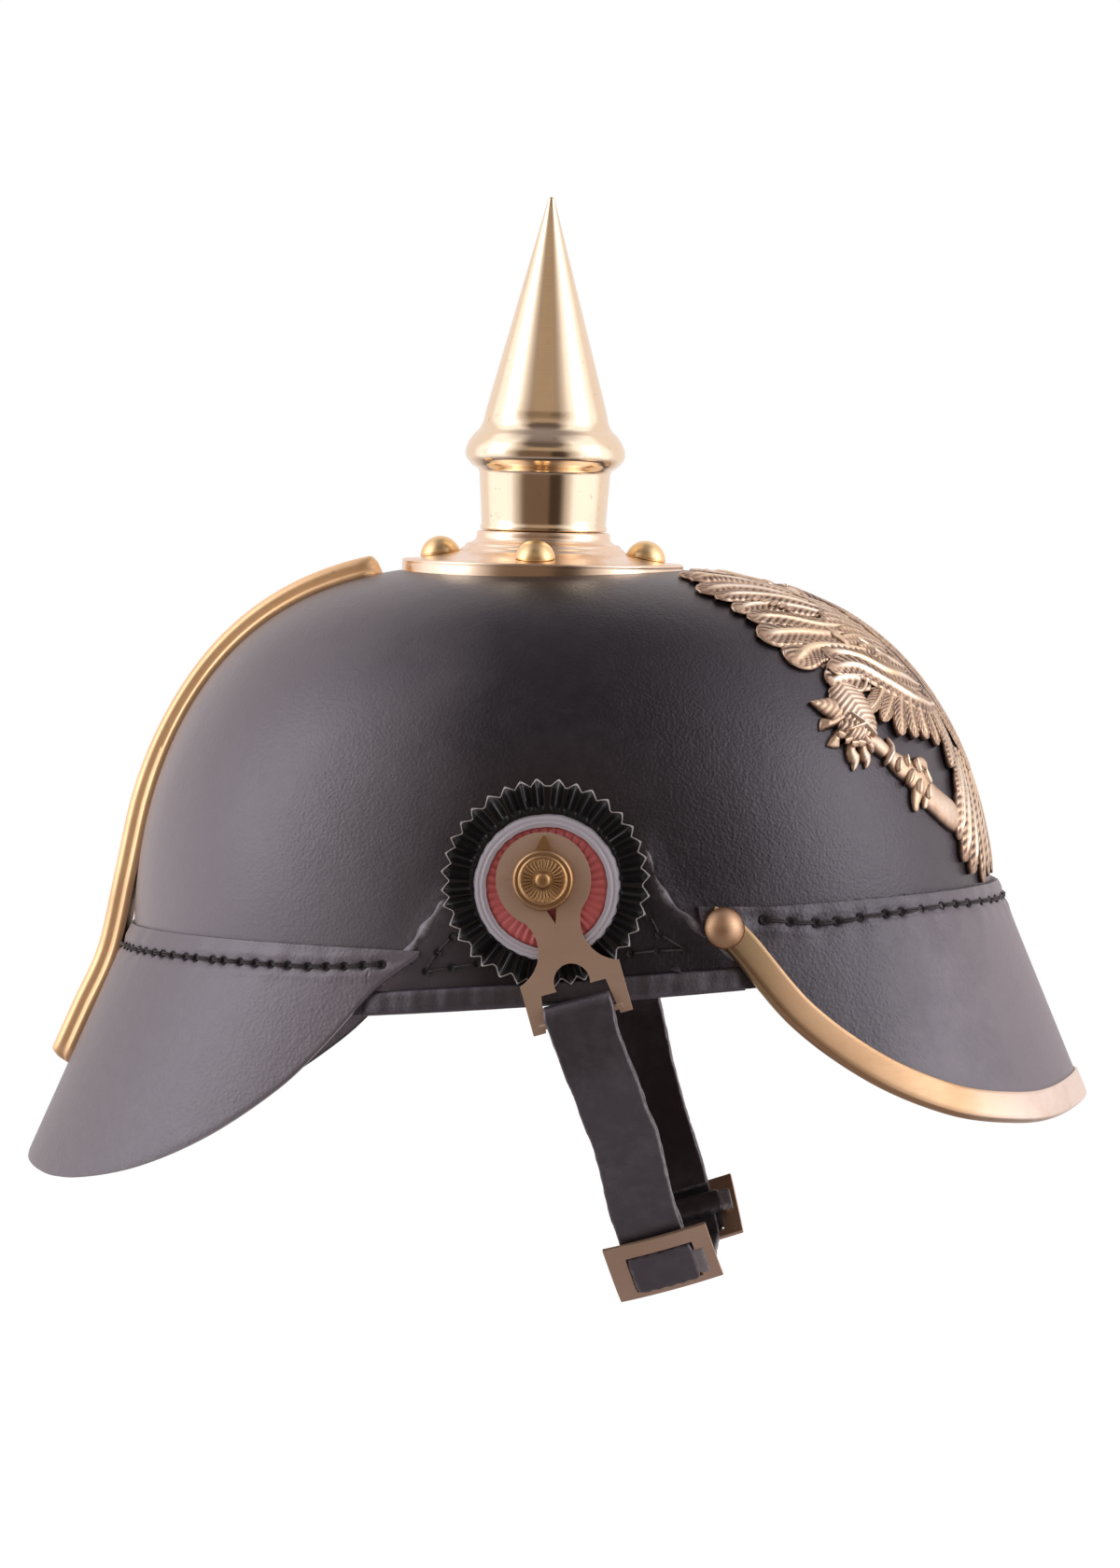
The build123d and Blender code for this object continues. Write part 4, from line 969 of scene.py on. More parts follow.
# ---------------------------------------------------------------- spike
def make_spike():
    """Hollow brass spike with a plain neck, a bulging ring and a long cone."""
    bm = bmesh.new()
    inner = [(15.8, 145.0), (15.8, 124.0), (15.9, 123.4)]
    foot = [(16.2, 123.32), (17.0, 123.36), (17.35, 123.7), (17.35, 124.5), (17.05, 125.0)]
    neck = straight_part((17.05, 125.0), (17.95, 138.9), np.linspace(0, 1, 12))
    lip = [(18.15, 139.6), (18.7, 140.25), (19.6, 140.7)]
    ring = smooth_line(((20.4, 141.4), (21.6, 143.0), (21.9, 144.7), (21.2, 147.2), (19.6, 149.6),
                        (18.2, 151), (17.2, 153), (16.5, 156.3)), 40)
    cone = straight_part((16.5, 156.3), (0.95, 213.8), np.linspace(0.03, 1, 26))
    tip = round_part(0, 213.85, 0.9, 0.1, math.pi / 2 - 0.02, 7)
    outline = [(0.02, 180.0), *inner, *foot, *neck, *lip, *[tuple(point) for point in ring], *cone[1:], *tip]
    spin_outline(bm, outline, 160, Matrix.Translation((SPIKE_X * MM, 0, 0)))
    finish_piece("brass_spike", bm, "polished", "spike", "polished_brass", "spike", crease=40)


def make_base_plate():
    """Dished round plate with a rolled rim, a step, a bead and a collar under the spike."""
    bm = bmesh.new()
    rim = round_part(38.0, 114.35, 0.62, -0.6, 2.2, 9)
    outline = [(37.6, 111.0), (38.55, 111.3), (38.6, 113.6), *rim, (36.9, 115.0), (35.2, 115.1), (32, 115.62),
               (28, 116.35), (24.8, 116.95), (23.4, 117.2), (22.75, 117.6), (22.5, 118.1), (22.0, 118.5),
               (21.5, 118.75), (21.3, 119.2), (21.0, 119.6), (20.4, 119.75), (19.7, 119.9), (19.0, 120.3),
               (18.45, 120.9), (18.3, 121.6), (18.25, 122.4), (18.1, 122.9), (17.7, 123.1), (17.0, 123.1),
               (16.9, 121.5), (20.0, 117.8), (24.0, 115.6), (34.0, 113.9), (37.0, 113.0), (37.6, 111.0)]
    spin_outline(bm, outline, 192, Matrix.Translation((SPIKE_X * MM, 0, 0)))
    finish_piece("spike_base", bm, "disc", "helmet", "polished_brass", "base_plate", crease=50)


def make_base_studs():
    """Four domed studs round the base plate."""
    bm = bmesh.new()
    slope = (117.4 - 115.05) / (36.7 - 22.8)
    lean = Matrix.Rotation(math.atan(slope), 4, "Y")
    place = Matrix.Translation((28.3 * MM, 0, (117.4 - slope * 5.5 + 0.05) * MM)) @ lean
    for quarter in range(4):
        turned = Matrix.Rotation(math.pi / 2 * quarter, 4, "Z") @ place
        spin_outline(bm, stud_outline(5.45, 4.7), 56, Matrix.Translation((SPIKE_X * MM, 0, 0)) @ turned)
    finish_piece("base_plate_studs", bm, "golden", "helmet", "golden_brass", "base_studs", crease=40)


# ---------------------------------------------------------------- cockades and posts
SIDES = (("right", 1), ("left", -1))
FLIPS = {"right": Matrix.Identity(4), "left": Matrix.Diagonal((1, -1, 1, 1))}
POST_SIDE = float(side_depth(np.array(POST_X), np.array(POST_Z)))
PLEATS, FLUTES = 36, 42
# Radii: the black disc's hole and rim, the white ring, and the red disc
PLEAT_HOLE, PLEAT_RADIUS = 6.1, 27.7
WHITE_IN, WHITE_OUT = 16.0, 19.3
RED_IN, RED_OUT = 4.2, 16.2


def side_matrix(side, depth, ahead=0.0, drop=0.0):
    """Matrix of a flat piece on one side, at a depth outside the shell below the post."""
    place = Matrix.Translation(((POST_X + ahead) * MM, -(POST_SIDE + depth) * MM, (POST_Z - drop) * MM))
    return FLIPS[side] @ place @ Matrix(((1, 0, 0, 0), (0, 0, -1, 0), (0, 1, 0, 0), (0, 0, 0, 1)))


def polar_grid(bm, rings, around, height, matrix, outer=None):
    """A round relief: height(radius, turn) over the radii given, closed with a flat back."""
    rings = np.array(rings, float)

    def place(u, v):
        index = np.rint(v * (len(rings) - 1)).astype(int)
        turn = u * 2 * np.pi
        radius = rings[index]
        rise, relief = height(radius, turn, index)
        if outer is not None:
            radius = radius * outer(radius, turn)
        return np.stack([radius * np.cos(turn), radius * np.sin(turn), rise], axis=1), relief

    made = lay_grid(bm, around, len(rings) - 1, place)
    bmesh.ops.transform(bm, matrix=matrix, verts=made)
    return made


def make_cockade(side):
    """One cockade: a pleated black disc with a jagged rim, a white ring and a fluted red disc."""
    chance = np.random.default_rng(5 if side == "right" else 6)
    lean, uneven = chance.uniform(-0.12, 0.12, PLEATS), chance.uniform(0.8, 1.12, PLEATS)
    front = [PLEAT_HOLE, 12.0, 17.0, 18.9, *np.linspace(19.5, PLEAT_RADIUS, 26)]
    rings = [PLEAT_HOLE, *front, PLEAT_RADIUS, 15.0, PLEAT_HOLE]
    last = len(rings) - 4

    def pleat(turn):
        place = turn / (2 * np.pi) * PLEATS
        which = place.astype(int) % PLEATS
        phase = (place % 1) - 0.5 - lean[which]
        return np.clip(1 - np.abs(phase) / (0.5 - np.abs(lean[which]) * 0.6), 0, 1), uneven[which]

    def height(radius, turn, index):
        ridge, tall = pleat(turn)
        grow = soft_step(18.8, 20.6, radius) * (1 - 0.25 * soft_step(25.0, PLEAT_RADIUS, radius))
        rise = 0.9 + 2.3 * ridge ** 1.5 * tall * grow
        # Pale worn rim and ridge tips near it, and a painted highlight at each ridge's inner end beside the
        # white ring
        worn = np.clip(1.1 * soft_step(26.9, 27.6, radius) + 0.62 * soft_step(0.82, 1.0, ridge) * grow
                       * (soft_step(25.4, 27.3, radius) + bump_at(radius - 20.8, 0.5)), 0, 1)
        back = (index > last) | (index == 0)
        return np.where(back, 0.0, rise), np.where(back, 0.0, worn)

    def outer(radius, turn):
        ridge, tall = pleat(turn)
        return 1 - 0.072 * soft_step(21.2, PLEAT_RADIUS, radius) * (1 - ridge * (0.75 + 0.25 * tall))

    bm = bmesh.new()
    polar_grid(bm, rings, PLEATS * 12, height, side_matrix(side, 1.2, 0.4, 1.0), outer)
    finish_piece(side + "_cockade_pleats", bm, "black", "helmet", "cockade_black",
                 side + "_cockade_ring", crease=70)

    matrix = side_matrix(side, 2.2, 0.8, 2.1)
    wobble = chance.uniform(-0.16, 0.16, 60)

    def ring(radius, turn, index):
        lip = 0.45 * bump_at(radius - 17.0, 0.28) - 0.2 * bump_at(radius - 17.7, 0.3)
        rise = 1.55 + lip + 0.35 * (1 - soft_step(18.0, 19.2, radius)) - 1.2 * soft_step(18.8, WHITE_OUT, radius)
        tint = 0.75 * bump_at(radius - 17.2, 0.5) + 0.4 * bump_at(radius - 19.0, 0.35)
        back = (index == 0) | (index > 22)
        return np.where(back, 0.0, rise), np.where(back, 0.0, tint)

    def edge(radius, turn):
        uneven_edge = np.interp(turn, np.linspace(0, 2 * np.pi, 60), wobble) / 20
        return 1 + uneven_edge * (np.abs(radius - 17.65) > 1.2)

    bm = bmesh.new()
    rings = [WHITE_IN - 0.1, *np.linspace(WHITE_IN, WHITE_OUT, 22), WHITE_OUT, WHITE_IN - 0.1]
    polar_grid(bm, rings, 240, ring, matrix, edge)
    finish_piece(side + "_cockade_white", bm, "white", "helmet", "cockade_rings",
                 side + "_cockade_centre", crease=50)

    def flutes(radius, turn, index):
        wave = 0.5 + 0.5 * np.cos(turn * FLUTES)
        grow = soft_step(9.0, 11.5, radius) * (1 - soft_step(15.4, RED_OUT, radius))
        back = (index == 0) | (index > 14)
        return np.where(back, -0.5, 0.8 + 0.55 * wave * grow), np.where(back, 0.0, wave * grow * 0.62)

    bm = bmesh.new()
    rings = [RED_IN, *np.linspace(RED_IN, RED_OUT, 14), RED_OUT, RED_IN]
    polar_grid(bm, rings, FLUTES * 8, flutes, matrix)
    finish_piece(side + "_cockade_red", bm, "red", "helmet", "cockade_rings")


def make_post(side):
    """Side post with a fluted rosette, a boss and a pointed tab."""
    matrix = side_matrix(side, 6.0)
    outline = [(0.0, 3.15), (0.8, 3.1), (1.4, 2.95), (1.9, 2.6), (2.15, 2.1), (2.35, 1.8), (2.7, 1.7),
               (3.3, 1.75), (3.9, 1.8), (4.5, 1.85), (5.1, 1.9), (5.7, 1.95), (5.95, 2.3), (6.15, 2.4),
               (6.4, 2.25), (6.6, 1.95), (6.8, 1.9), (7.1, 2.0), (7.45, 1.95), (7.7, 1.7), (7.95, 1.3),
               (8.1, 0.8), (8.1, 0.0), (4.0, 0.0), (4.0, -2.4), (2.0, -2.5), (2.0, -15.0), (0.0, -15.0)]
    heights = np.array([point[1] for point in outline])

    def rosette(radius, turn, index):
        petal = np.abs(np.cos(turn * 15)) ** 0.8
        grow = soft_step(2.5, 3.3, radius) * (1 - soft_step(5.3, 5.9, radius)) * (index < 13)
        rise = heights[index] + (petal - 0.6) * 0.4 * grow
        groove = bump_at(radius - 6.65, 0.16) + bump_at(radius - 2.5, 0.3) + 0.5 * bump_at(radius, 1.0)
        relief = np.where(index < 16, 0.72 - 0.55 * grow * (1 - petal) - 0.5 * groove, 0.85 - 0.5 * groove)
        return rise, relief

    bm = bmesh.new()
    polar_grid(bm, [point[0] for point in outline], 224, rosette, matrix)
    tab = [(-2.5, 3.0), (2.5, 3.0), (2.4, 7.5), (0.35, 11.6), (-0.35, 11.6), (-2.4, 7.5)]
    corners = [bm.verts.new(matrix @ Vector((x * MM, y * MM, 0.04 * MM))) for x, y in tab]
    made = bmesh.ops.extrude_face_region(bm, geom=[bm.faces.new(corners)])["geom"]
    raised = [item for item in made if isinstance(item, bmesh.types.BMVert)]
    bmesh.ops.translate(bm, verts=raised, vec=(matrix.to_3x3() @ Vector((0, 0, 1))) * 0.9 * MM)
    layer = bm.verts.layers.float["relief"]
    for vert in [*corners, *raised]:
        vert[layer] = 0.6
    finish_piece(side + "_rosette", bm, "rosette", "helmet", "golden_brass", side + "_post", crease=38)


# ---------------------------------------------------------------- chinstrap
# The middle of the lug's sheet, the lug's bar, and the strap's leather
LUG_SIDE = POST_SIDE + 4.5 + 0.6
BAR_Z, FOLD = -35.2, 2.1
STRAP_HALF_WIDTH, STRAP_LEATHER = 8.7, 1.7
# Its run from the bar: down, round the side's bend, straight on, and round the fold at the chin
DROP, SIDE_BEND, SIDE_ANGLE, RUN, CHIN_BEND, CHIN_ANGLE = 11, 20, 38, 67.0, 5, 46
# The buckle's line, and its place along it
BUCKLE_IN, BUCKLE_Z, BUCKLE_PLACE, SLIDE = 1.85, -37.2, 59, 25
# Sideways sway of the right and of the left half, as (height, sway)
NEAR_SWAY = ((-102, -0.9), (-93, -0.9), (-85, -0.2), (-77, 0.8), (-72, 1.2), (-65, 0.7), (-58, 0.9),
             (-50, 0.2), (-42, -0.4), (-36, -0.2))
FAR_SWAY = ((-102, -1.0), (-93, -1.3), (-80, -2.6), (-65, -3.2), (-50, -3.0), (-42, -1.6), (-33, 0.0))


def walk(start, heading, steps):
    """Points and headings along straight runs (length,) and arcs (radius, angle), in Y and Z."""
    place, turn = np.array(start, float), math.radians(heading)
    points, turns = [place.copy()], [turn]
    for step in steps:
        if len(step) == 1:
            count = max(2, int(step[0] / 1.2))
            for share in range(1, count + 1):
                points.append(place + share / count * step[0] * np.array([math.cos(turn), math.sin(turn)]))
                turns.append(turn)
            place = points[-1].copy()
        else:
            radius, angle = step[0], math.radians(step[1])
            count = max(6, int(abs(radius * angle) / 0.9))
            centre = place + radius * np.array([-math.sin(turn), math.cos(turn)]) * np.sign(angle)
            for share in range(1, count + 1):
                now = turn + angle * share / count
                points.append(centre + radius * np.array([math.sin(now), -math.cos(now)]) * np.sign(angle))
                turns.append(now)
            turn, place = turns[-1], points[-1].copy()
    return np.array(points), np.array(turns)


def hang(points):
    """Points drawn about the posts' axis, hung there at the strap's swing."""
    x, y, z = points.T
    ahead = x * math.cos(SWING) - z * math.sin(SWING)
    up = x * math.sin(SWING) + z * math.cos(SWING)
    return np.stack([ahead + POST_X, y, up + POST_Z], axis=1)


def leather_ply(bm, points, turns, seed=1):
    """A strap of leather along a line in Y and Z, with soft corners and uneven edges."""
    half, thick = STRAP_HALF_WIDTH, STRAP_LEATHER / 2
    corner = [(half - 0.5 + 0.5 * math.sin(turn), thick - 0.5 + 0.5 * math.cos(turn))
              for turn in np.linspace(0, math.pi / 2, 5)]
    top = [(x, thick - 0.12 * (x / half) ** 2 + 0.06) for x in np.linspace(-half + 1.2, half - 1.2, 11)]
    right = [(half - 0.8, thick), *corner, *[(x, -up) for x, up in corner[::-1]], (half - 0.8, -thick)]
    left = [(-x, up) for x, up in right[::-1]]
    low = [(x, -thick) for x in np.linspace(half - 1.2, -half + 1.2, 8)]
    section = np.array([*top, *right, *low, *left, top[0]])
    last = len(points) - 1
    chance = np.random.default_rng(seed)
    rough = np.convolve(chance.normal(0, 1, last + 9), np.ones(3) / 3, "same")[4:last + 5]
    sway = np.convolve(chance.normal(0, 1, last + 41), np.ones(21) / 21, "same")[20:last + 21]

    def place(u, v):
        index = np.rint(v * last).astype(int)
        flat, depth = section_at(section, u)
        edge = soft_step(half - 1.0, half, np.abs(flat)) * np.sign(flat)
        across = flat + edge * 0.13 * rough[index] + sway[index] * 0.25
        turn = turns[index]
        base = points[index] + depth[:, None] * np.stack([np.sin(turn), -np.cos(turn)], axis=1)
        near = np.interp(base[:, 1], *zip(*NEAR_SWAY))
        far = np.interp(base[:, 1], *zip(*FAR_SWAY))
        across = across * (1 + 0.055 * bump_at(base[:, 1] + 36, 5))
        across = across + near + (far - near) * soft_step(-30, 30, base[:, 0])
        worn = 0.9 * soft_step(half - 0.75, half - 0.1, np.abs(flat))
        return hang(np.stack([across, base[:, 0], base[:, 1]], axis=1)), worn

    lay_grid(bm, len(section) - 1, last, place)


def strap_half():
    """Outer ply of the right side from the bar to the middle, then mirrored as a line."""
    steps = [(DROP,), (SIDE_BEND + FOLD, SIDE_ANGLE), (RUN,), (CHIN_BEND + FOLD, CHIN_ANGLE)]
    points, turns = walk((-LUG_SIDE - FOLD, BAR_Z), -90, steps)
    left = 90 - SIDE_ANGLE - CHIN_ANGLE
    sag = -points[-1][0] / math.cos(math.radians(90 - left))
    more, more_turns = walk(points[-1], -left, [(sag, left)])
    return np.vstack([points, more[1:]]), np.concatenate([turns, more_turns[1:]])


def make_strap():
    """The chinstrap with its folded ends, and the inner plies down to the buckles."""
    outer, turns = strap_half()
    start = (-LUG_SIDE + FOLD, BAR_Z)
    inner, inner_turns = walk(start, -90, [(DROP,), (SIDE_BEND - FOLD, SIDE_ANGLE)])
    over, over_turns = walk(start, 90, [(FOLD, 180)])
    line = np.vstack([inner[::-1], over[1:-1], outer])
    heading = np.concatenate([inner_turns[::-1] + math.pi, over_turns[1:-1], turns + 2 * math.pi])
    back = line[::-1][1:] * (-1, 1)
    bm = bmesh.new()
    leather_ply(bm, np.vstack([line, back]), np.concatenate([heading, 2 * heading[-1] - heading[::-1][1:]]))
    finish_piece("chinstrap_band", bm, "strap", "chinstrap", "strap_leather", "strap_band",
                 crease=60, close=True)

    end = inner[-1]
    length = BUCKLE_PLACE - 3.3 - 0.3
    ply, ply_turns = walk(end, math.degrees(inner_turns[-1]), [(length,)])
    for name, sign in SIDES:
        bm = bmesh.new()
        leather_ply(bm, ply * (sign, 1), ply_turns if sign > 0 else math.pi - ply_turns, seed=3)
        piece = finish_piece(name + "_strap_fold", bm, "strap", "chinstrap", "strap_leather",
                             name + "_strap_end", crease=60, close=True)
        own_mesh(piece)


def at_buckle(sign):
    """A way to place (across, along, out) points, in millimetres, about a buckle's middle."""
    steps = [(DROP,), (SIDE_BEND + BUCKLE_IN, SIDE_ANGLE), (BUCKLE_PLACE,)]
    points, turns = walk((-LUG_SIDE - BUCKLE_IN, BUCKLE_Z), -90, steps)
    middle, turn = points[-1], turns[-1]
    along, out = np.array([math.cos(turn), math.sin(turn)]), np.array([math.sin(turn), -math.cos(turn)])

    def place(x, s, rise):
        base = middle + np.multiply.outer(s, along) + np.multiply.outer(rise, out)
        return hang(np.stack([np.asarray(x, float), base[..., 0], base[..., 1]], axis=-1)) * (1, sign, 1)

    return place


def blunt(values, power):
    """Powers of values below one, which keep their signs."""
    return np.sign(values) * np.abs(values) ** power


def leather_pad(bm, place, start, end, middle, half_height, low, high, sag=0.0):
    """A soft leather bolster across the strap: a closed loop of leather with rounded ends."""
    def lay(u, v):
        turn = u * 2 * np.pi
        x = start + (end - start) * v
        round_ = 0.7 + 0.3 * rounded(2 * v - 1, 20)
        s = middle + half_height * blunt(np.cos(turn), 0.45) * round_
        rise = (low + high) / 2 + (high - low) / 2 * blunt(np.sin(turn), 0.6) * round_
        rise = rise - sag * (2 * v - 1) ** 2 * (rise > (low + high) / 2)
        s = s + 0.16 * np.sin(x * 1.9 + 1.0) * (np.abs(s - middle) > half_height * 0.8)
        worn = bump_at(np.minimum(v, 1 - v) * (end - start), 0.6) * 0.9
        return place(x, s, rise), worn

    lay_grid(bm, 40, 44, lay)


def make_sleeve(name, sign):
    """Leather loop sewn round the buckle's bar, which bulges through the frame, and its frayed end."""
    place = at_buckle(sign)
    bm = bmesh.new()
    leather_pad(bm, place, -8.8, 10.5, 0, 3.35, -4.85, -1.2)
    leather_pad(bm, place, -8.9, 8.7, 1.1, 6.5, 0.95, 2.95, 0.35)
    finish_piece(name + "_buckle_loop", bm, "strap", "buckle_" + name, "strap_leather",
                 name + "_buckle_sleeve", crease=60, close=True)
    bm = bmesh.new()
    leather_pad(bm, place, 10.2, 13.2, 0.2, 3.0, -4.6, -1.5)
    leather_pad(bm, place, 8.4, 11.6, 1.6, 4.4, 1.2, 2.65, 0.3)
    finish_piece(name + "_loop_end", bm, "suede", "buckle_" + name, "strap_leather", close=True)


def make_buckle(name, sign):
    """Bent sheet brass frame with a window, and two arms back to its bar."""
    place = at_buckle(sign)
    half_wide, half_high = 14.3, 10.3
    outer = ((-half_wide, -half_high), (half_wide, -half_high), (half_wide, half_high),
             (-half_wide, half_high))
    inner = ((-9.15, -5.7), (9.15, -5.7), (9.15, 7.5), (-9.15, 7.5))
    bm = bmesh.new()
    corners = [[bm.verts.new((x, s, 0)) for x, s in ring] for ring in (outer, inner)]
    for step in range(4):
        after = (step + 1) % 4
        bm.faces.new((corners[0][step], corners[0][after], corners[1][after], corners[1][step]))
    bmesh.ops.subdivide_edges(bm, edges=bm.edges[:], cuts=9, use_grid_fill=True)
    flat = np.array([vert.co for vert in bm.verts])
    x, s = flat[:, 0], flat[:, 1]
    bend = -0.55 * (x / half_wide) ** 2 - (0.3 + 1.0 * (s > 0)) * (s / half_high) ** 2
    move(bm.verts, place(x, s, 2.4 + bend))
    here, above = place(np.zeros(2), np.zeros(2), np.array([0.0, 1.0]))
    bmesh.ops.recalc_face_normals(bm, faces=bm.faces[:])
    bm.normal_update()
    if sum(face.normal.dot(Vector(above - here)) for face in bm.faces) < 0:
        bmesh.ops.reverse_faces(bm, faces=bm.faces[:])
    piece = finish_piece(name + "_buckle_brass", bm, "sheet", "buckle_" + name, "sheet_brass",
                         name + "_buckle", outwards=False)
    add_wall(piece, 1.2, 0.2)
    bm = bmesh.new()
    for x in (-11.2, 11.2):
        made = bmesh.ops.create_cube(bm, size=1)["verts"]
        flat = np.array([vert.co for vert in made])
        move(made, place(x + flat[:, 0] * 1.15, flat[:, 1] * 4, -1.0 + flat[:, 2] * 5.2))
    piece = finish_piece(name + "_buckle_arms", bm, "sheet", "buckle_" + name, "sheet_brass", crease=30)
    round_edges(piece, 0.25, 40)


def make_metal_fittings():
    """Lugs, as the part's own sheet metal with rounded edges, and the buckles."""
    for name, sign in SIDES:
        rounded_copy(name + "_lug", name + "_lug_brass", 0.34, "sheet", "chinstrap", "sheet_brass")
        make_buckle(name, sign)


# ---------------------------------------------------------------- inside
TONGUES, BAND_TOP = 9, 38
# Fastenings that keep their shapes from the frame, and their finishes
FASTENINGS = (("spike_stud", "steel"), ("spike_nut", "steel"), ("spike_washer", "steel"),
              ("post_nuts", "steel"), ("eagle_nuts", "steel"), ("eagle_posts", "steel"),
              ("base_stud_washers", "steel"), ("spine_prongs", "polished"))


def make_liner():
    """Sweatband whose tongues lean in to the lace."""
    bm = bmesh.new()
    heights = np.array((0, 0.16, 0.42, 0.62, 0.8, 0.92, 1)) * 94 - 6
    reaches = np.array((1, 0.975, 0.91, 0.81, 0.62, 0.4, 0.2))
    line = smooth_line(np.stack([reaches, heights], axis=1), 120)

    def at(turn, height, lift=0.0):
        reach = np.interp(height, line[:, 1], line[:, 0])
        x = (SHELL_LENGTH - SHELL_WALL - 0.3) * reach * np.cos(turn)
        y = (SHELL_WIDTH - SHELL_WALL - 0.3) * reach * np.sin(turn)
        return np.stack([x + lift * np.cos(turn), y + lift * np.sin(turn), height], axis=1)

    def band(u, v):
        turn = u * 2 * np.pi
        low = rim_height((SHELL_LENGTH - 4) * np.cos(turn)) + 0.5
        height = low + (BAND_TOP - low) * v
        stitched = 0.4 * bump_at(height - low - 3, 0.8)
        return at(turn, height, 0.25 * np.sin(turn * 24) * v * (1 - v) - stitched)

    lay_grid(bm, 288, 34, band)
    for index in range(TONGUES):
        centre = 2 * math.pi * index / TONGUES

        def leaf(u, v, centre=centre):
            height = BAND_TOP + 48.5 * np.sin(v * np.pi / 2) ** 0.9
            reach = np.interp(height, line[:, 1], line[:, 0])
            spread = math.pi / TONGUES - 2.7 / (105 * np.maximum(reach, 0.2))
            spread = spread * np.where(v > 0.86, np.sqrt(np.clip(1 - ((v - 0.86) / 0.15) ** 2, 0.03, 1)), 1)
            turn = centre + (2 * u - 1) * np.maximum(spread, 0.01)
            return at(turn, height, -1.6 * np.sin(u * np.pi) * np.sin(v * np.pi) ** 0.7)

        lay_grid(bm, 22, 44, leaf)
    piece = finish_piece("sweatband", bm, "liner", "helmet", "liner_leather", "sweatband_liner", crease=70)
    add_wall(piece, 1.2)


def make_lace():
    """Lace through the tips of the tongues, with its twist."""
    bm = bmesh.new()
    turn = np.linspace(0, 2 * np.pi, 181)
    wave = 0.8 * np.sin(turn * TONGUES)
    x = (23.0 + wave) * np.cos(turn)
    y = (18.8 + wave) * np.sin(turn)
    z = 87.6 + 0.7 * np.cos(turn * TONGUES)
    tube(bm, np.stack([x, y, z], axis=1)[:-1].tolist() + [[23.0, 0, 88.3]], 1.0, 12)
    finish_piece("tongue_lace", bm, "lace", "helmet", "lace_cotton", "liner_lace")


def make_patches():
    """Leather patches inside the shell behind the posts."""
    bm = bmesh.new()

    def place(u, v):
        z = 10 + 40 * v
        half = 36 - 22 * v
        x = POST_X + (2 * u - 1) * half
        corner = np.clip(1 - (2 * u - 1) ** 12 * (2 * v - 1) ** 12, 0, 1)
        side = side_depth(x * corner + POST_X * (1 - corner), z, -3.06)
        return np.stack([x, -side, z], axis=1)

    lay_grid(bm, 60, 40, place)
    mirror_sides(bm)
    piece = finish_piece("post_patches", bm, "patch", "helmet", "patch_leather", "side_patches", crease=70)
    add_wall(piece, 1.45, 0.4)


# ---------------------------------------------------------------- eagle plate
# Share of a form's section that is its upper side, the slack at its end, and a rod without rings
TOP_SHARE, SEAM_SLACK = 0.75, 1e-6
NO_RINGS = (0.0, 1.0, 0.0)


def plate_route(route, steps):
    """A smooth line on the plate's drawing, the directions to its left, and its length."""
    line = smooth_line(route, steps + 1)
    return line, side_of(line), float(np.sum(np.linalg.norm(np.diff(line, axis=0), axis=1)))


def plate_section(u):
    """Whether points round a section lie on its upper side, and where across it, from -1 to 1."""
    upper = u <= TOP_SHARE + SEAM_SLACK
    return upper, np.where(upper, 2 * u / TOP_SHARE - 1, 1 - 2 * (u - TOP_SHARE) / (1 - TOP_SHARE))


def lay_form(bm, across, steps, form, foot, mirror):
    """Lays one form of the plate: form(index, v, c) gives its flat points, their rise and their relief."""
    def place(u, v):
        upper, c = plate_section(u)
        flat, rise, relief = form(np.rint(v * steps).astype(int), v, c)
        points = on_plate(mirror * flat[:, 0], flat[:, 1], np.where(upper, rise, foot))
        return points, np.where(upper, relief, 0.0)

    lay_grid(bm, int(round(across / TOP_SHARE)), steps, place)


def feather(bm, route, half_width, steps, across, base, crown, rachis, barbs, barb_pitch, tip, root, lean,
            mirror):
    """One feather of the plate: a crowned leaf with a middle rib and slanting barbs."""
    line, side, length = plate_route(route, steps)

    def form(index, v, c):
        grow = root + (1 - root) * soft_step(0, 0.3, v)
        round_ = rounded(np.clip(v - tip, 0, 1) / (1 - tip))
        flat = line[index] + side[index] * (c * half_width * grow * round_)[:, None]
        crest = np.abs(c)
        bend = np.sin(2 * np.pi * (v * length - lean * crest * half_width) / barb_pitch)
        fade = (1 - soft_step(0.86, 1.0, crest)) * (1 - soft_step(0.9, 1.0, v))
        barb = barbs * bend * soft_step(0.12, 0.3, crest) * fade
        rib = rachis * bump_at(crest, 0.16) * (1 - soft_step(0.82, 0.97, v))
        edge = 0.3 * bump_at(crest - 0.9, 0.1)
        vault = crown * rounded(crest, 2.6) * (0.55 + 0.45 * round_)
        relief = 0.30 + 1.1 * rib + 1.3 * barb + 0.9 * edge + 0.16 * (1 - crest)
        return flat, base + vault + barb + rib + edge, relief

    lay_form(bm, across, steps, form, 0.12, mirror)


def rod(bm, route, widths, heights, steps, across, base, bright, rings=NO_RINGS, mirror=1):
    """A rounded bar of the plate, such as a claw or a shaft. Its rings have a height, a pitch and a slant."""
    line, side, length = plate_route(route, steps)
    ring_height, pitch, slant = rings

    def form(index, v, c):
        round_ = rounded(2 * v - 1, 16)
        width = np.interp(v, np.linspace(0, 1, len(widths)), widths) / 2 * round_
        height = np.interp(v, np.linspace(0, 1, len(heights)), heights)
        flat = line[index] + side[index] * (c * width)[:, None]
        crest = np.abs(c)
        ring = ring_height * np.sin(2 * np.pi * (v * length + slant * crest) / pitch)
        rise = base + height * rounded(c) * (0.3 + 0.7 * round_)
        rise = rise + ring * np.sqrt(1 - crest ** 2 * 0.9)
        return flat, rise, bright - 0.35 * crest ** 2 + 1.4 * ring

    lay_form(bm, across, steps, form, 0.1, mirror)


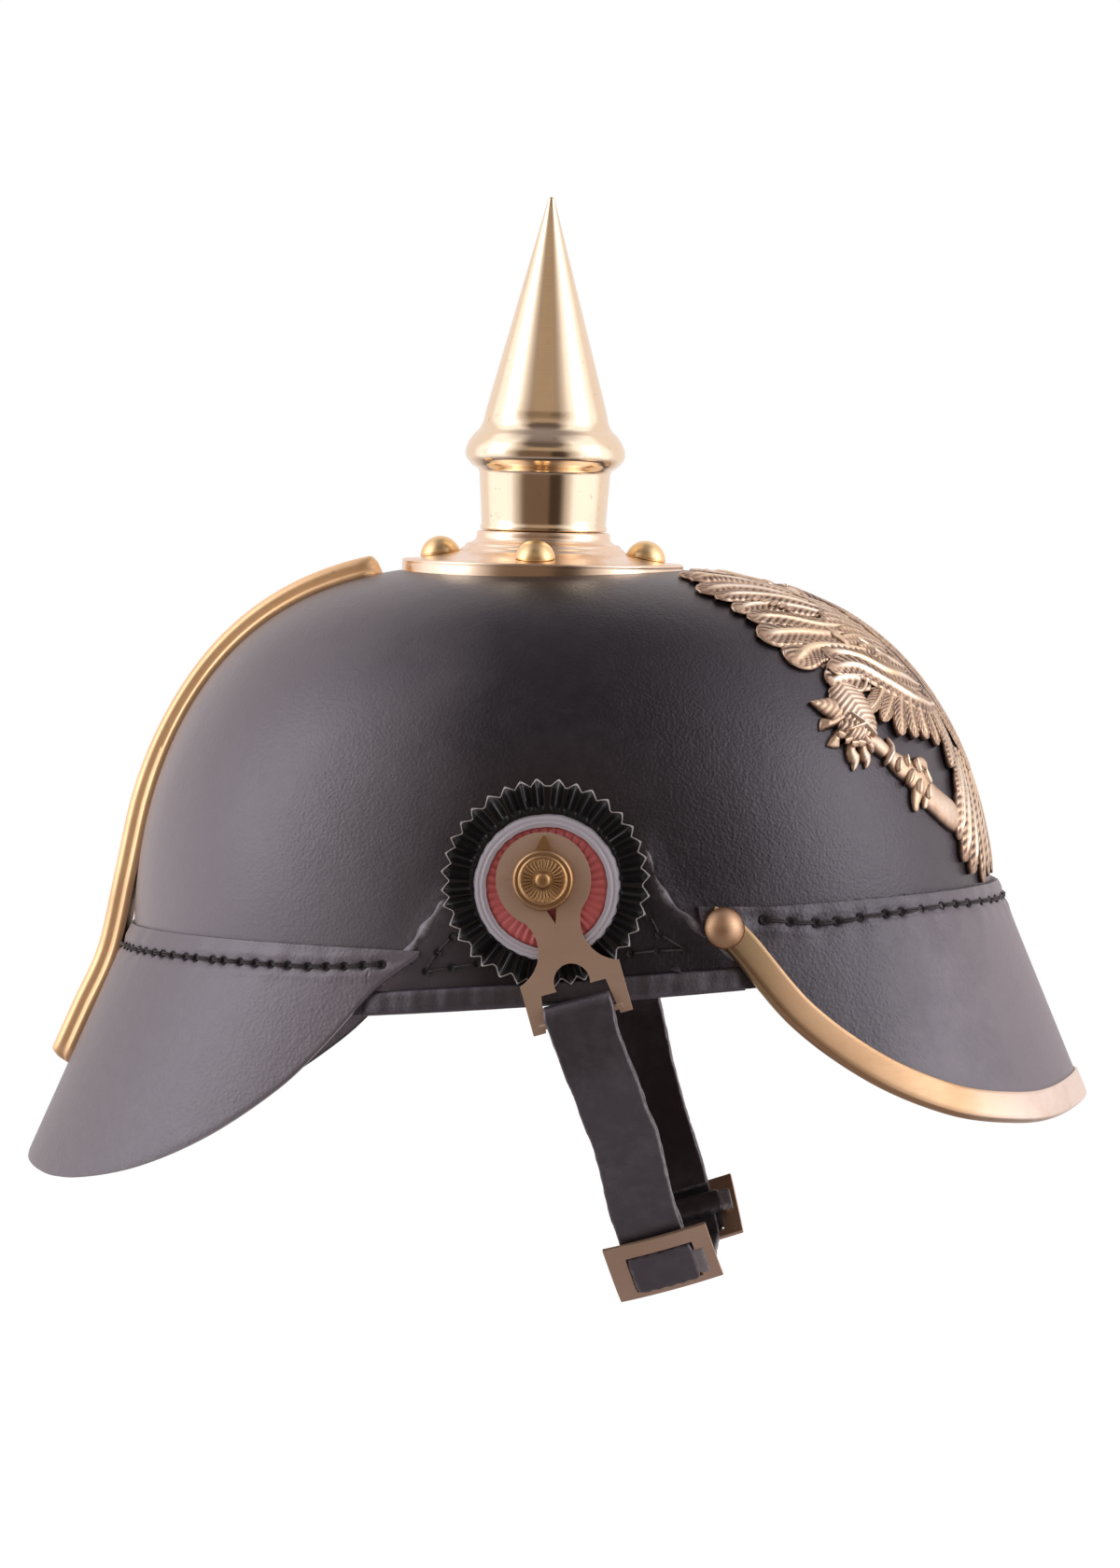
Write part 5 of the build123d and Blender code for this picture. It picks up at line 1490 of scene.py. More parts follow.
def leaf(bm, centre, turn, length, width, base, crown, ribs=0.0, barbs=0.0, mirror=1):
    """A small rounded scale of the plate, such as a covert or a thigh feather."""
    turn = math.radians(turn)
    ahead = np.array([math.cos(turn), math.sin(turn)]) * length / 2
    route = [centre - ahead, np.array(centre), centre + ahead]
    feather(bm, route, width / 2, 12, 8, base, crown, 0.3 + ribs, barbs, 1.4, 0.45, 0.55, 0.6, mirror)


# Feathers, and the sheets behind them: route from root to tip, half-width, rise of the foot
BACK_SHEETS = (
    (((4, 34), (14, 48), (24, 57)), 7.5, 0.1),
    (((8, 26), (22, 40), (36, 50)), 8.0, 0.1),
    (((8, 14), (26, 26), (46, 38)), 8.0, 0.1),
    (((8, 6), (28, 16), (48, 25)), 7.5, 0.1),
    (((8, 0), (24, 5), (40, 12)), 6.5, 0.1),
    (((6, -6), (16, -6), (27, -5)), 5.5, 0.1),
)
WING_FEATHERS = (
    (((6, 44), (9, 55), (17, 61.5), (30, 63.3)), 3.6, 0.5),
    (((10, 42), (16, 52), (24, 58.5), (33.0, 62.0)), 2.9, 0.9),
    (((16, 38), (25, 47.5), (33, 54.5), (41.4, 58.2)), 4.3, 0.6),
    (((20, 34), (28, 42.5), (37, 50.5), (43.4, 54.2)), 3.2, 1.0),
    (((24, 33), (32, 40.5), (40, 46.5), (46.6, 48.6)), 3.3, 0.7),
    (((26, 27), (34.5, 31.8), (41.0, 39.0), (47.6, 45.2)), 3.6, 1.0),
    (((26, 23.5), (36.7, 29.0), (43.5, 34.0), (52.6, 39.6)), 5.3, 0.8),
    (((28, 18), (38, 24.4), (45.7, 28.5), (54.6, 28.2)), 5.6, 0.6),
)
LONG_FEATHERS = (
    (((9, 2), (20, 6.4), (29.5, 11.0), (35.6, 18.6), (44.5, 26.2)), 4.1, 1.4),
    (((9, 8), (16, 11.4), (23.4, 15.2), (26.2, 20.0), (28.5, 26.5)), 3.4, 1.2),
    (((9, -4), (19, -2.4), (28, 1.2), (35.6, 10.0), (40.5, 17.2), (48.8, 21.3)), 3.8, 1.9),
    (((33, 10), (40, 13.5), (46.5, 17.0), (51.6, 18.5)), 4.2, 0.9),
)
FAN_FEATHERS = (
    (((30, 9.5), (37, 8.0), (43, 6.8), (48.6, 6.4)), 2.5, 1.0),
    (((31, 7), (37.5, 4.6), (42.3, 2.8), (45.6, 1.6)), 2.4, 1.2),
    (((31, 5), (36.5, 1.6), (39.8, -1.2), (42.6, -4.6)), 2.5, 1.5),
    (((27.5, 3), (32, 0.2), (35.2, -3.2), (37.4, -7.6)), 2.4, 1.4),
    (((23.5, 1), (27.6, -1.6), (30.6, -5.4), (32.4, -9.8)), 2.4, 1.3),
    (((19, -0.5), (22.6, -3.2), (25.4, -7.4), (28.0, -13.0)), 2.5, 1.2),
    (((14, -1.5), (16.5, -5), (19.0, -9.5), (21.6, -15.2)), 2.6, 1.1),
    (((10, -3), (12.0, -7), (13.8, -12), (15.0, -17.5)), 2.5, 1.0),
)
# The look of each group: steps, points across, crown's height, rib, barbs, their pitch, tip, root, slant
WING_LOOK = (54, 18, 1.1, 0.65, 0.26, 1.9, 0.8, 0.45, 0.9)
LONG_LOOK = (60, 16, 0.8, 0.95, 0.26, 2.2, 0.85, 0.5, 0.9)
FAN_LOOK = (40, 14, 1.1, 0.35, 0.2, 1.5, 0.72, 0.5, 1.6)
TAIL_LOOK = (48, 16, 1.5, 0.9, 0.22, 2.2, 0.82, 0.6, 0.8)
NECK_LOOK = (16, 8, 1.1, 0.4, 0.0, 2, 0.6, 0.4, 0.7)
SHEET_LOOK = (24, 8, 0.7, 0.0, 0.0, 2.0, 0.7, 0.7, 0.7)
COVERT_ROWS = (
    # start and end of the row, count, size
    ((10, 38), (27, 30), 6, 5.4),
    ((8, 34), (30, 24), 7, 5.2),
    ((8, 29), (27, 19), 6, 5.0),
    ((8, 23), (24, 15), 5, 4.8),
)
BEADS = ((37.8, 47.2), (37.2, 45.2), (36.4, 43.3), (35.5, 41.4), (35.0, 39.5))
WING_RODS = (
    # route, widths and heights along it, steps, points across, rise of the foot, brightness, rings
    (((33.6, 30.6), (34.6, 28.4), (34.3, 25.2), (35.0, 20.4)), (1.2, 3.4, 2.6, 1.0), (0.8, 1.4, 1.2, 0.5),
     30, 10, 1.5, 0.7),
    (((38.9, 14.4), (42.0, 12.0), (45.2, 11.2), (47.6, 12.8), (49.4, 15.2)), (1.0, 1.3, 1.3, 1.3, 0.8),
     (0.5, 0.9, 0.9, 0.9, 0.4), 30, 8, 1.5, 0.8),
    (((36.0, 9.6), (40.6, 7.4), (45.0, 6.3), (48.8, 6.0)), (0.9, 1.2, 1.2, 0.8), (0.4, 0.8, 0.8, 0.4),
     30, 8, 1.9, 0.8),
)
TALON_HEIGHTS = (1.9, 1.6, 1.8, 0.5)
LEG_RODS = (
    # shank, the feathers' edge beside it and the foot, all with rings, and two folds over the foot
    (((49.0, 16.6), (50.8, 11.2), (51.8, 6.0), (52.4, 0.4)), (8.0, 11.6, 11.2, 8.0), (1.2, 2.4, 2.7, 2.0),
     76, 26, 0.8, 0.66, (0.15, 1.5, -2.6)),
    (((59.6, 17.6), (57.8, 15.0), (55.6, 11.6), (54.4, 7.6)), (0.3, 4.6, 7.6, 8.0), (0.5, 1.2, 1.6, 1.6),
     56, 18, 0.8, 0.6, (0.07, 1.6, 1.0)),
    (((57.8, 8.4), (55.8, 5.2), (53.2, 1.8)), (4.6, 7.4, 5.2), (1.8, 2.8, 2.1),
     40, 16, 0.8, 0.6, (0.18, 1.3, 0.8)),
    (((58.2, 5.6), (53.8, 4.2), (49.2, 3.0)), (1.0, 1.7, 1.0), (2.8, 3.4, 2.2), 40, 8, 1.2, 0.85),
    (((54.6, 9.4), (53.2, 4.4), (51.2, -0.6)), (0.9, 1.5, 1.0), (2.4, 3.4, 2.2), 40, 8, 1.2, 0.85),
    # talons
    (((56.4, 9.2), (59.2, 9.6), (61.2, 11.4)), (3.4, 2.2, 3.8), TALON_HEIGHTS, 30, 12, 0.4, 0.65),
    (((57.2, 6.4), (60.2, 5.8), (62.0, 4.2)), (3.6, 2.4, 4.0), TALON_HEIGHTS, 30, 12, 0.4, 0.65),
    (((56.4, 3.4), (58.8, 0.6), (59.2, -2.2), (60.6, -4.0)), (3.6, 2.6, 3.4, 0.8), TALON_HEIGHTS,
     30, 12, 0.4, 0.65),
    (((54.4, 2.0), (56.0, -1.6), (56.2, -4.2), (57.4, -5.6)), (3.4, 2.4, 3.2, 0.8), TALON_HEIGHTS,
     30, 12, 0.4, 0.65),
    (((53.0, 1.0), (53.4, -1.6), (53.0, -3.6)), (3.2, 2.6, 1.6), TALON_HEIGHTS, 30, 12, 0.4, 0.65),
    # the shaft that the foot holds, with its leaves, curl and tail
    (((53.4, 1.4), (51.4, -2.0), (49.6, -6.0)), (2.6, 4.4, 4.0), (1.4, 2.0, 1.6), 30, 12, 0.5, 0.66),
    (((46.8, -5.0), (49.4, -6.6), (52.0, -8.0)), (1.4, 2.4, 1.6), (1.4, 2.6, 1.6), 24, 10, 0.6, 0.8),
    (((48.4, -7.0), (47.0, -5.0), (46.6, -2.6)), (2.6, 1.8, 0.5), (1.6, 1.4, 0.5), 20, 10, 0.5, 0.75),
    (((49.2, -7.0), (47.4, -10.4), (45.0, -13.6), (42.8, -17.0), (41.2, -20.6)), (4.6, 6.2, 6.8, 8.4, 7.0),
     (1.5, 1.7, 1.5, 1.9, 1.9), 60, 18, 0.4, 0.66),
    (((42.6, -17.2), (45.6, -19.2), (47.2, -21.2), (47.4, -23.2)), (6.0, 5.0, 3.6, 1.6), (1.9, 1.9, 1.5, 0.6),
     36, 14, 0.5, 0.68),
    (((41.6, -20.6), (43.4, -22.6), (44.2, -24.0)), (4.4, 3.4, 1.6), (1.7, 1.5, 0.6), 24, 12, 0.5, 0.74),
    (((42.4, -13.8), (40.2, -13.2), (38.6, -14.4), (37.8, -17.0)), (2.6, 3.4, 3.2, 0.8), (1.4, 1.6, 1.4, 0.5),
     24, 12, 0.5, 0.62),
    (((42.0, -20.0), (38.6, -24.6), (34.0, -29.2), (28.6, -33.4)), (7.6, 7.8, 8.2, 6.4), (1.8, 1.8, 1.8, 1.2),
     56, 18, 0.4, 0.64),
)
FOOT_LEAVES = ((58.4, 3.4), (57.4, 1.6), (55.8, 0.6), (59.2, 5.6), (54.0, 0.2))
SHAFT_LEAVES = (
    # centre, turn, length, width
    ((48.6, -10.2), -50, 3.6, 2.4),
    ((45.4, -10.8), -70, 3.0, 2.2),
    ((46.6, -14.6), -30, 4.2, 2.6),
    ((42.4, -13.6), -80, 3.8, 2.6),
    ((44.8, -18.2), -50, 4.0, 3.0),
    ((40.4, -17.6), -95, 4.2, 2.6),
    ((42.2, -20.8), -60, 3.6, 2.8),
)
THIGH_LEAVES = ((14.5, -6), (17.5, -9.5), (20.6, -13), (23.4, -17), (16, -13), (19.2, -17), (22.0, -21.5),
                (15.0, -19.5), (18.2, -24), (24.8, -24.5), (21, -28))
TAIL_FEATHERS = (
    (((3, -20), (8, -30), (13.5, -38), (20.6, -49.6)), 3.4, 1.3),
    (((6, -19), (14, -28), (22, -36), (29.5, -45.4)), 3.3, 1.1),
    (((9, -18), (18, -26), (26, -33), (32.8, -41.6)), 3.2, 0.9),
    (((12, -17), (20, -23), (27.5, -29.5), (33.0, -36.2)), 3.0, 0.7),
    (((1.5, -22), (4.5, -32), (7.4, -41), (10.6, -49.8)), 3.2, 1.5),
)
BODY_RODS = (
    # body, neck, head, beak above and below, brow, and the crown's band
    (((0, 30), (0, 18), (0, 2), (0, -14), (0, -26)), (16, 25, 27, 21, 10), (2.6, 3.8, 4.2, 3.4, 1.6),
     72, 30, 0.3, 0.35),
    (((0.5, 30), (0.2, 36), (-1.2, 41.5), (-2.4, 45.6)), (13, 10, 10.5, 9.5), (3.2, 3.6, 4.2, 4.0),
     40, 20, 0.3, 0.45, (0.12, 1.8, 1.0)),
    (((2.6, 43), (-2.4, 43.8), (-6.4, 42.8)), (7.6, 9.2, 5.4), (3.0, 4.6, 3.4), 30, 18, 0.4, 0.5),
    (((-5.2, 44.0), (-9.2, 43.6), (-12.0, 41.2), (-12.2, 38.6)), (4.8, 4.4, 2.8, 0.6), (3.8, 3.6, 2.6, 0.9),
     36, 14, 0.5, 0.7),
    (((-5.4, 40.8), (-8.4, 40.4), (-10.2, 39.2)), (2.6, 2.2, 0.8), (2.8, 2.2, 0.9), 20, 10, 0.5, 0.55),
    (((-4.6, 45.4), (-3.4, 45.9), (-2.2, 45.6)), (0.9, 1.5, 0.9), (4.6, 5.2, 4.6), 14, 10, 0.5, 0.85),
    (((-5.4, 49.4), (-1, 50.4), (3.4, 49.4)), (2.2, 2.6, 2.2), (2.6, 3.2, 2.6),
     30, 12, 0.6, 0.7, (0.2, 1.4, 0.0)),
    (((-1, 55.6), (-1, 57.4), (-1, 59.2)), (1.4, 2.8, 1.2), (1.6, 2.6, 1.2), 16, 12, 0.6, 0.8),
)
CROWN_ARCHES = (-4.2, -1.0, 2.2)


def lay_feathers(bm, feathers, steps, across, *look, mirror=1):
    """A group of feathers that share their look."""
    for route, half_width, base in feathers:
        feather(bm, route, half_width, steps, across, base, *look, mirror)


def make_wing(side, mirror):
    """One wing: a sheet behind it, long feathers, coverts over their roots, and the fan at its foot."""
    bm = bmesh.new()
    for group, look in ((BACK_SHEETS, SHEET_LOOK), (WING_FEATHERS, WING_LOOK), (LONG_FEATHERS, LONG_LOOK),
                        (FAN_FEATHERS, FAN_LOOK)):
        lay_feathers(bm, group, *look, mirror=mirror)
    for row, (start, end, count, size) in enumerate(COVERT_ROWS):
        for index in range(count):
            share = index / (count - 1)
            centre = np.array(start) * (1 - share) + np.array(end) * share
            leaf(bm, centre, 38 - 18 * share + 6 * (index % 2), size * 1.7, size, 1.7 - row * 0.06, 1.0,
                 0.2, 0.2, mirror)
    for centre in BEADS:
        leaf(bm, centre, 15, 3.2, 1.5, 1.9, 0.7, mirror=mirror)
    for values in WING_RODS:
        rod(bm, *values, mirror=mirror)
    finish_piece("eagle_wing_" + side, bm, "plate", "helmet", "plate_brass",
                 *(["eagle_plate"] if side == "right" else []))


def make_leg(side, mirror):
    """One leg with its ringed shank, its foot and talons, and the leafy shaft that it holds."""
    bm = bmesh.new()
    for values in LEG_RODS:
        rod(bm, *values, mirror=mirror)
    for index, centre in enumerate(FOOT_LEAVES):
        leaf(bm, centre, 200 + 14 * index, 2.6, 2.4, 1.6, 1.1, mirror=mirror)
    for values in SHAFT_LEAVES:
        leaf(bm, *values, 1.5, 1.0, 0.25, mirror=mirror)
    finish_piece("eagle_leg_" + side, bm, "plate", "helmet", "plate_brass")


def make_body():
    """Body with its scales, thighs, tail, neck, crested head and beak, and a plain crown above."""
    bm = bmesh.new()
    for values in BODY_RODS:
        rod(bm, *values)
    for row in range(14):
        height = 27 - row * 3.7
        half = 11.5 - 0.09 * (row - 5) ** 2 * (row > 5)
        count = 6 + row % 2
        for index in range(count):
            x = (index - (count - 1) / 2) * 2 * half / (count - 0.4)
            arch = 3.3 * (1 - (x / 14) ** 2) + 0.2
            leaf(bm, (x, height), -90, 6.0, 4.2, arch, 0.9, 0.15, 0.18)
    for mirror in (1, -1):
        for index, centre in enumerate(THIGH_LEAVES):
            leaf(bm, centre, -52 - 4 * (index % 3), 7.2, 5.0, 0.9 + 0.12 * (index % 4), 1.3,
                 0.25, 0.25, mirror)
        lay_feathers(bm, TAIL_FEATHERS, *TAIL_LOOK, mirror=mirror)
        for share in np.linspace(0, 1, 9):
            down = 10 * share
            route = ((0.8 + 2.6 * share, 40 - down), (2.2 + 4 * share, 35 - down),
                     (3.4 + 6 * share, 29 - down))
            lay_feathers(bm, ((route, 1.7, 2.6 + 0.6 * share),), *NECK_LOOK, mirror=mirror)
    lay_feathers(bm, ((((0, -22), (0, -32), (0, -42), (0, -50)), 3.2, 1.9),), *TAIL_LOOK)
    for x in CROWN_ARCHES:
        route = ((x, 50.5), (x * 1.05 - 0.05, 53.5), (x * 0.5 - 0.5, 56.4))
        rod(bm, route, (1.6, 2.6, 1.4), (2.0, 2.4, 1.6), 20, 10, 0.6, 0.7)
    finish_piece("eagle_body", bm, "plate", "helmet", "plate_brass")


# ---------------------------------------------------------------- stage
def make_world(studio):
    """What the metal mirrors: a dark side behind the camera, soft boxes left and right, and a pale wall."""
    world = bpy.data.worlds.new("studio")
    bpy.context.scene.world = world
    world.use_nodes = True
    background = world.node_tree.nodes["Background"]
    add = node_adder(world.node_tree)
    direction = add("TexCoord").outputs["Generated"]
    parts = add("SeparateXYZ", Vector=direction).outputs
    flat = add("CombineXYZ", X=parts["X"], Y=parts["Y"]).outputs["Vector"]
    level = add("VectorMath", {"operation": "NORMALIZE"}, Vector=flat).outputs["Vector"]
    ahead = add("SeparateXYZ", Vector=level).outputs["Y"]
    behind = add("MapRange", Value=ahead, From_Min=-1.0, From_Max=1.0).outputs["Result"]
    dark, wall = (*studio.dark, 1), (*studio.wall, 1)
    box = (*(part * studio.soft_box for part in (1.0, 0.965, 1.0)), 1)
    rise = parts["Z"]
    cone = ramp(add, rise, (0.27, 0.0), (0.42, 1.0), (0.6, 1.0), (0.72, 0.0))
    behind = add_share(add, behind, cone, 0.05)
    brown = (0.17, 0.115, 0.085, 1)
    column = ramp(add, parts["X"], (0.0, brown), (0.18, brown), (0.26, dark))
    back = ramp(add, rise, (0.34, 0.0), (0.41, 1.0), (0.53, 1.0), (0.62, 0.0))
    back = blend_colours(add, back, column, (0.46, 0.35, 0.26, 1))
    back = blend_colours(add, ramp(add, rise, (0.55, 0.0), (0.64, 1.0)), back, (0.13, 0.1, 0.095, 1))
    sides = ramp(add, behind, (0.1, (0.36, 0.3, 0.27, 1)), (0.17, (0.74, 0.66, 0.62, 1)), (0.25, box),
                 (0.66, box), (0.76, wall), (1.0, wall))
    around = blend_colours(add, ramp(add, behind, (0.075, 0.0), (0.125, 1.0)), back, sides)
    with_top = blend_colours(add, ramp(add, rise, (0.8, 0.0), (0.97, 1.0)), around, (0.3, 0.26, 0.27, 1))
    low = ramp(add, sums(add, "MULTIPLY", rise, -1.0), (0.3, 0.0), (0.62, 1.0))
    whole = blend_colours(add, low, with_top, (0.36, 0.31, 0.31, 1))
    seen = add("LightPath").outputs["Is Camera Ray"]
    connect(background.inputs["Color"], blend_colours(add, seen, whole, (1, 1, 1, 1)))
    connect(background.inputs["Strength"], 1.0)


def make_floor(studio):
    """Plain pale floor that keeps a faint shadow."""
    bm = bmesh.new()
    bmesh.ops.create_grid(bm, x_segments=8, y_segments=8, size=4.0)
    bmesh.ops.translate(bm, verts=bm.verts[:], vec=(0, 0, -studio.floor_drop))
    mesh = bpy.data.meshes.new("floor")
    bm.to_mesh(mesh)
    bm.free()
    material = bpy.data.materials.new("pale floor")
    material.use_nodes = True
    tree = material.node_tree
    tree.nodes.remove(tree.nodes["Principled BSDF"])
    add = node_adder(tree)
    matt = add("BsdfDiffuse", Color=(0.86, 0.85, 0.84, 1))
    white = add("Emission", Strength=1.034)
    seen = add("LightPath").outputs["Is Camera Ray"]
    mixed = add("MixShader", Fac=sums(add, "MULTIPLY", seen, 1 - studio.shadow_share))
    connect(mixed.inputs[1], matt.outputs[0])
    connect(mixed.inputs[2], white.outputs[0])
    connect(tree.nodes["Material Output"].inputs["Surface"], mixed.outputs[0])
    mesh.materials.append(material)
    floor = add_object("floor", mesh)
    floor.visible_glossy = False


def make_lamp(name, place, size, power, colour):
    """A soft lamp that looks at the helmet."""
    light = bpy.data.lights.new(name, "AREA")
    light.shape = "RECTANGLE"
    light.size, light.size_y = size
    light.energy = power
    light.color = colour
    lamp = add_object(name, light)
    lamp.location = place
    lamp.rotation_euler = (Vector((0, 0, 0.05)) - Vector(place)).to_track_quat("-Z", "Y").to_euler()


def make_camera(studio):
    """Camera at the photograph's angle."""
    turn, climb, roll = studio.camera_turn, studio.camera_climb, studio.camera_roll
    back = Vector((math.sin(turn) * math.cos(climb), -math.cos(turn) * math.cos(climb), math.sin(climb)))
    level = Vector((math.cos(turn), math.sin(turn), 0))
    upright = back.cross(level)
    right = level * math.cos(roll) + upright * math.sin(roll)
    up = upright * math.cos(roll) - level * math.sin(roll)
    lens = bpy.data.cameras.new("camera")
    lens.sensor_fit = "VERTICAL"
    lens.sensor_height = 36
    lens.lens = studio.lens
    camera = add_object("camera", lens)
    place = Vector((-0.0018, 0, 0.0539)) + back * studio.camera_distance
    camera.matrix_world = Matrix.Translation(place) @ Matrix((right, up, back)).transposed().to_4x4()
    bpy.context.scene.camera = camera


# ---------------------------------------------------------------- settings
def colour_setting(name, text, default):
    """A colour that a user may change."""
    return bpy.props.FloatVectorProperty(name=name, description=text, subtype="COLOR", size=3, min=0, max=1,
                                         default=default)


def length_setting(name, text, default):
    """A length that a user may change."""
    return bpy.props.FloatProperty(name=name, description=text, unit="LENGTH", subtype="DISTANCE",
                                   default=default, precision=5)


def turn_setting(name, text, degrees):
    """An angle that a user may change."""
    return bpy.props.FloatProperty(name=name, description=text, unit="ROTATION", default=math.radians(degrees))


def number_setting(name, text, default, **limits):
    """A number that a user may change."""
    return bpy.props.FloatProperty(name=name, description=text, default=default, **limits)


class LeatherSettings(bpy.types.PropertyGroup):
    shell: colour_setting("Shell", "Blackened leather of the shell", (0.0042, 0.0038, 0.0058))
    visor: colour_setting("Visors", "Blackened leather of the visors", (0.0165, 0.014, 0.017))
    strap: colour_setting("Strap", "Blackened leather of the chinstrap", (0.022, 0.0202, 0.0258))
    # Also the colour of the painted sheen on the shell and visors
    rubbed: colour_setting("Rubbed leather", "Where the blacking has gone dull", (0.187, 0.165, 0.186))
    worn_edge: colour_setting("Worn strap", "Where the strap's surface has split", (0.19, 0.175, 0.18))
    lining: colour_setting("Sweatband", "Brown leather of the sweatband", (0.19, 0.095, 0.045))
    lining_worn: colour_setting("Worn sweatband", "Darkened leather of the sweatband", (0.075, 0.038, 0.02))
    thread: colour_setting("Thread", "Waxed thread of the seams", (0.028, 0.022, 0.02))
    pit: colour_setting("Stitch holes", "Dark inside of the stitch holes", (0.004, 0.0035, 0.003))
    pit_rim: colour_setting("Worn stitch holes", "Dusty places of the stitch holes", (0.01, 0.009, 0.008))
    cut_edge: colour_setting("Cut edge", "Raw leather at the ends of the loops", (0.16, 0.145, 0.15))
    cut_worn: colour_setting("Worn cut edge", "Fluff on the raw leather", (0.3, 0.28, 0.28))


class BrassSettings(bpy.types.PropertyGroup):
    polished: colour_setting("Spike", "Polished pale brass", (0.92, 0.77, 0.57))
    disc: colour_setting("Base plate", "Copper toned brass of the base plate", (0.97, 0.77, 0.59))
    dull: colour_setting("Trim studs", "Dull brown brass of the trim's studs", (0.62, 0.40, 0.25))
    golden: colour_setting("Studs", "Golden brass of studs and posts", (0.98, 0.71, 0.38))
    rosette: colour_setting("Rosettes", "Darker brass between the rosettes' petals", (0.45, 0.26, 0.10))
    trim: colour_setting("Trim", "Brass of the visor's trim", (0.56, 0.37, 0.22))
    spine: colour_setting("Spine", "Golden brass of the spine", (1.0, 0.70, 0.41))
    sheet: colour_setting("Lugs and buckles", "Flat tan brass sheet", (0.66, 0.50, 0.385))
    plate_bright: colour_setting("Plate ridges", "Bright ridges of the eagle plate", (1.0, 0.895, 0.76))
    plate: colour_setting("Plate", "Brass of the eagle plate", (0.62, 0.43, 0.305))
    plate_dark: colour_setting("Plate recesses", "Dark recesses of the eagle plate", (0.14, 0.105, 0.10))
    tarnish: colour_setting("Tarnish", "Brown tarnish", (0.42, 0.24, 0.12))
    steel: colour_setting("Steel", "Blackened steel of the fastenings", (0.25, 0.24, 0.23))
    rust: colour_setting("Rust", "Dull places of the fastenings", (0.09, 0.07, 0.06))


class CockadeSettings(bpy.types.PropertyGroup):
    white: colour_setting("White ring", "Lacquer of the white ring", (0.42, 0.40, 0.445))
    black: colour_setting("Pleated disc", "Lacquer of the pleated black disc", (0.009, 0.008, 0.009))
    red: colour_setting("Red disc", "Lacquer of the red disc", (0.54, 0.115, 0.11))


class SizeSettings(bpy.types.PropertyGroup):
    dent_depth: length_setting("Dents", "Depth of the dents beside the side patches", 0.0007)
    thread_width: length_setting("Thread", "Thickness of one strand of the seams' thread", 0.0005)
    front_pitch: length_setting("Front stitches", "Distance between the front seam's holes", 0.0074)
    rear_pitch: length_setting("Rear stitches", "Distance between the rear seam's holes", 0.0056)


class StudioSettings(bpy.types.PropertyGroup):
    dark: colour_setting("Dark side", "Dark side of the studio behind the camera", (0.06, 0.038, 0.027))
    wall: colour_setting("Wall", "Pale wall behind the helmet", (0.95, 0.86, 0.84))
    soft_box: number_setting("Soft boxes", "Brightness of the soft boxes at the sides", 1.3, min=0)
    floor_drop: length_setting("Floor", "Depth of the floor below the rim", 0.25)
    shadow_share: number_setting("Shadow", "How much of its shading the floor shows", 0.07,
                                 subtype="FACTOR", min=0, max=1)
    camera_turn: turn_setting("Camera turn", "Turn of the camera from the right side", 4)
    camera_climb: turn_setting("Camera climb", "How far the camera looks down", 2.7)
    camera_roll: turn_setting("Camera roll", "Tilt of the camera's frame", 1.37)
    camera_distance: length_setting("Camera distance", "Distance of the camera from the helmet", 2.2)
    lens: number_setting("Lens", "Length of the lens in millimetres", 183.86)


def group_setting(group, name, text):
    """A group of settings within another."""
    return bpy.props.PointerProperty(type=group, name=name, description=text)


class HelmetSettings(bpy.types.PropertyGroup):
    leather: group_setting(LeatherSettings, "Leather", "Colours of the leather")
    brass: group_setting(BrassSettings, "Brass", "Colours of the metal")
    cockade: group_setting(CockadeSettings, "Cockades", "Colours of the cockades")
    sizes: group_setting(SizeSettings, "Sizes", "Sizes of small details")
    studio: group_setting(StudioSettings, "Studio", "Camera, floor and surroundings")


# ---------------------------------------------------------------- operators
class HELMET_OT_stage(bpy.types.Operator):
    """Sets up the camera, the pale floor, the soft light and the finishes"""
    bl_idname = "helmet.stage"
    bl_label = "Stage and Finishes"

    def execute(self, context):
        helmet = context.scene.helmet
        context.scene.view_settings.view_transform = "Standard"
        make_world(helmet.studio)
        make_floor(helmet.studio)
        make_camera(helmet.studio)
        make_lamp("left box", (-1.7, -0.5, 0.75), (0.9, 1.3), 7.0, (1.0, 0.98, 0.96))
        make_lamp("right box", (1.8, -0.35, 0.7), (0.9, 1.3), 7.0, (1.0, 0.98, 0.96))
        make_finishes(helmet)
        return {"FINISHED"}


class HELMET_OT_shell(bpy.types.Operator):
    """Builds the domed leather shell and the band along its rim"""
    bl_idname = "helmet.shell"
    bl_label = "Shell"

    def execute(self, context):
        make_shell(context.scene.helmet.sizes)
        make_welt()
        make_patch_ridges()
        make_patch_stitches()
        return {"FINISHED"}


class HELMET_OT_visors(bpy.types.Operator):
    """Builds both visors with their seams"""
    bl_idname = "helmet.visors"
    bl_label = "Visors"

    def execute(self, context):
        sizes = context.scene.helmet.sizes
        front = seam_holes(FRONT, front_seam, -1.07, 1.07, sizes.front_pitch / MM, 11)
        rear = seam_holes(REAR, rear_seam, math.pi - 1.225, math.pi + 1.225, sizes.rear_pitch / MM, 12)
        make_visor("front_visor_leather", FRONT, True, front_top, front_seam, front, 1.8, "front_visor", 0.22)
        make_visor("rear_visor_leather", REAR, False, rear_top, rear_seam, rear, -1.6, "rear_visor", 0.12)
        make_stitches("front_seam", FRONT, front_seam, front, lambda place: False, sizes)
        make_stitches("rear_seam", REAR, rear_seam, rear, lambda place: abs(place[1]) < 8.5, sizes)
        return {"FINISHED"}


class HELMET_OT_trim(bpy.types.Operator):
    """Builds the front visor's brass trim with its studs, and the spine down the back"""
    bl_idname = "helmet.trim"
    bl_label = "Trim and Spine"

    def execute(self, context):
        make_trim()
        make_trim_studs()
        make_spine()
        return {"FINISHED"}


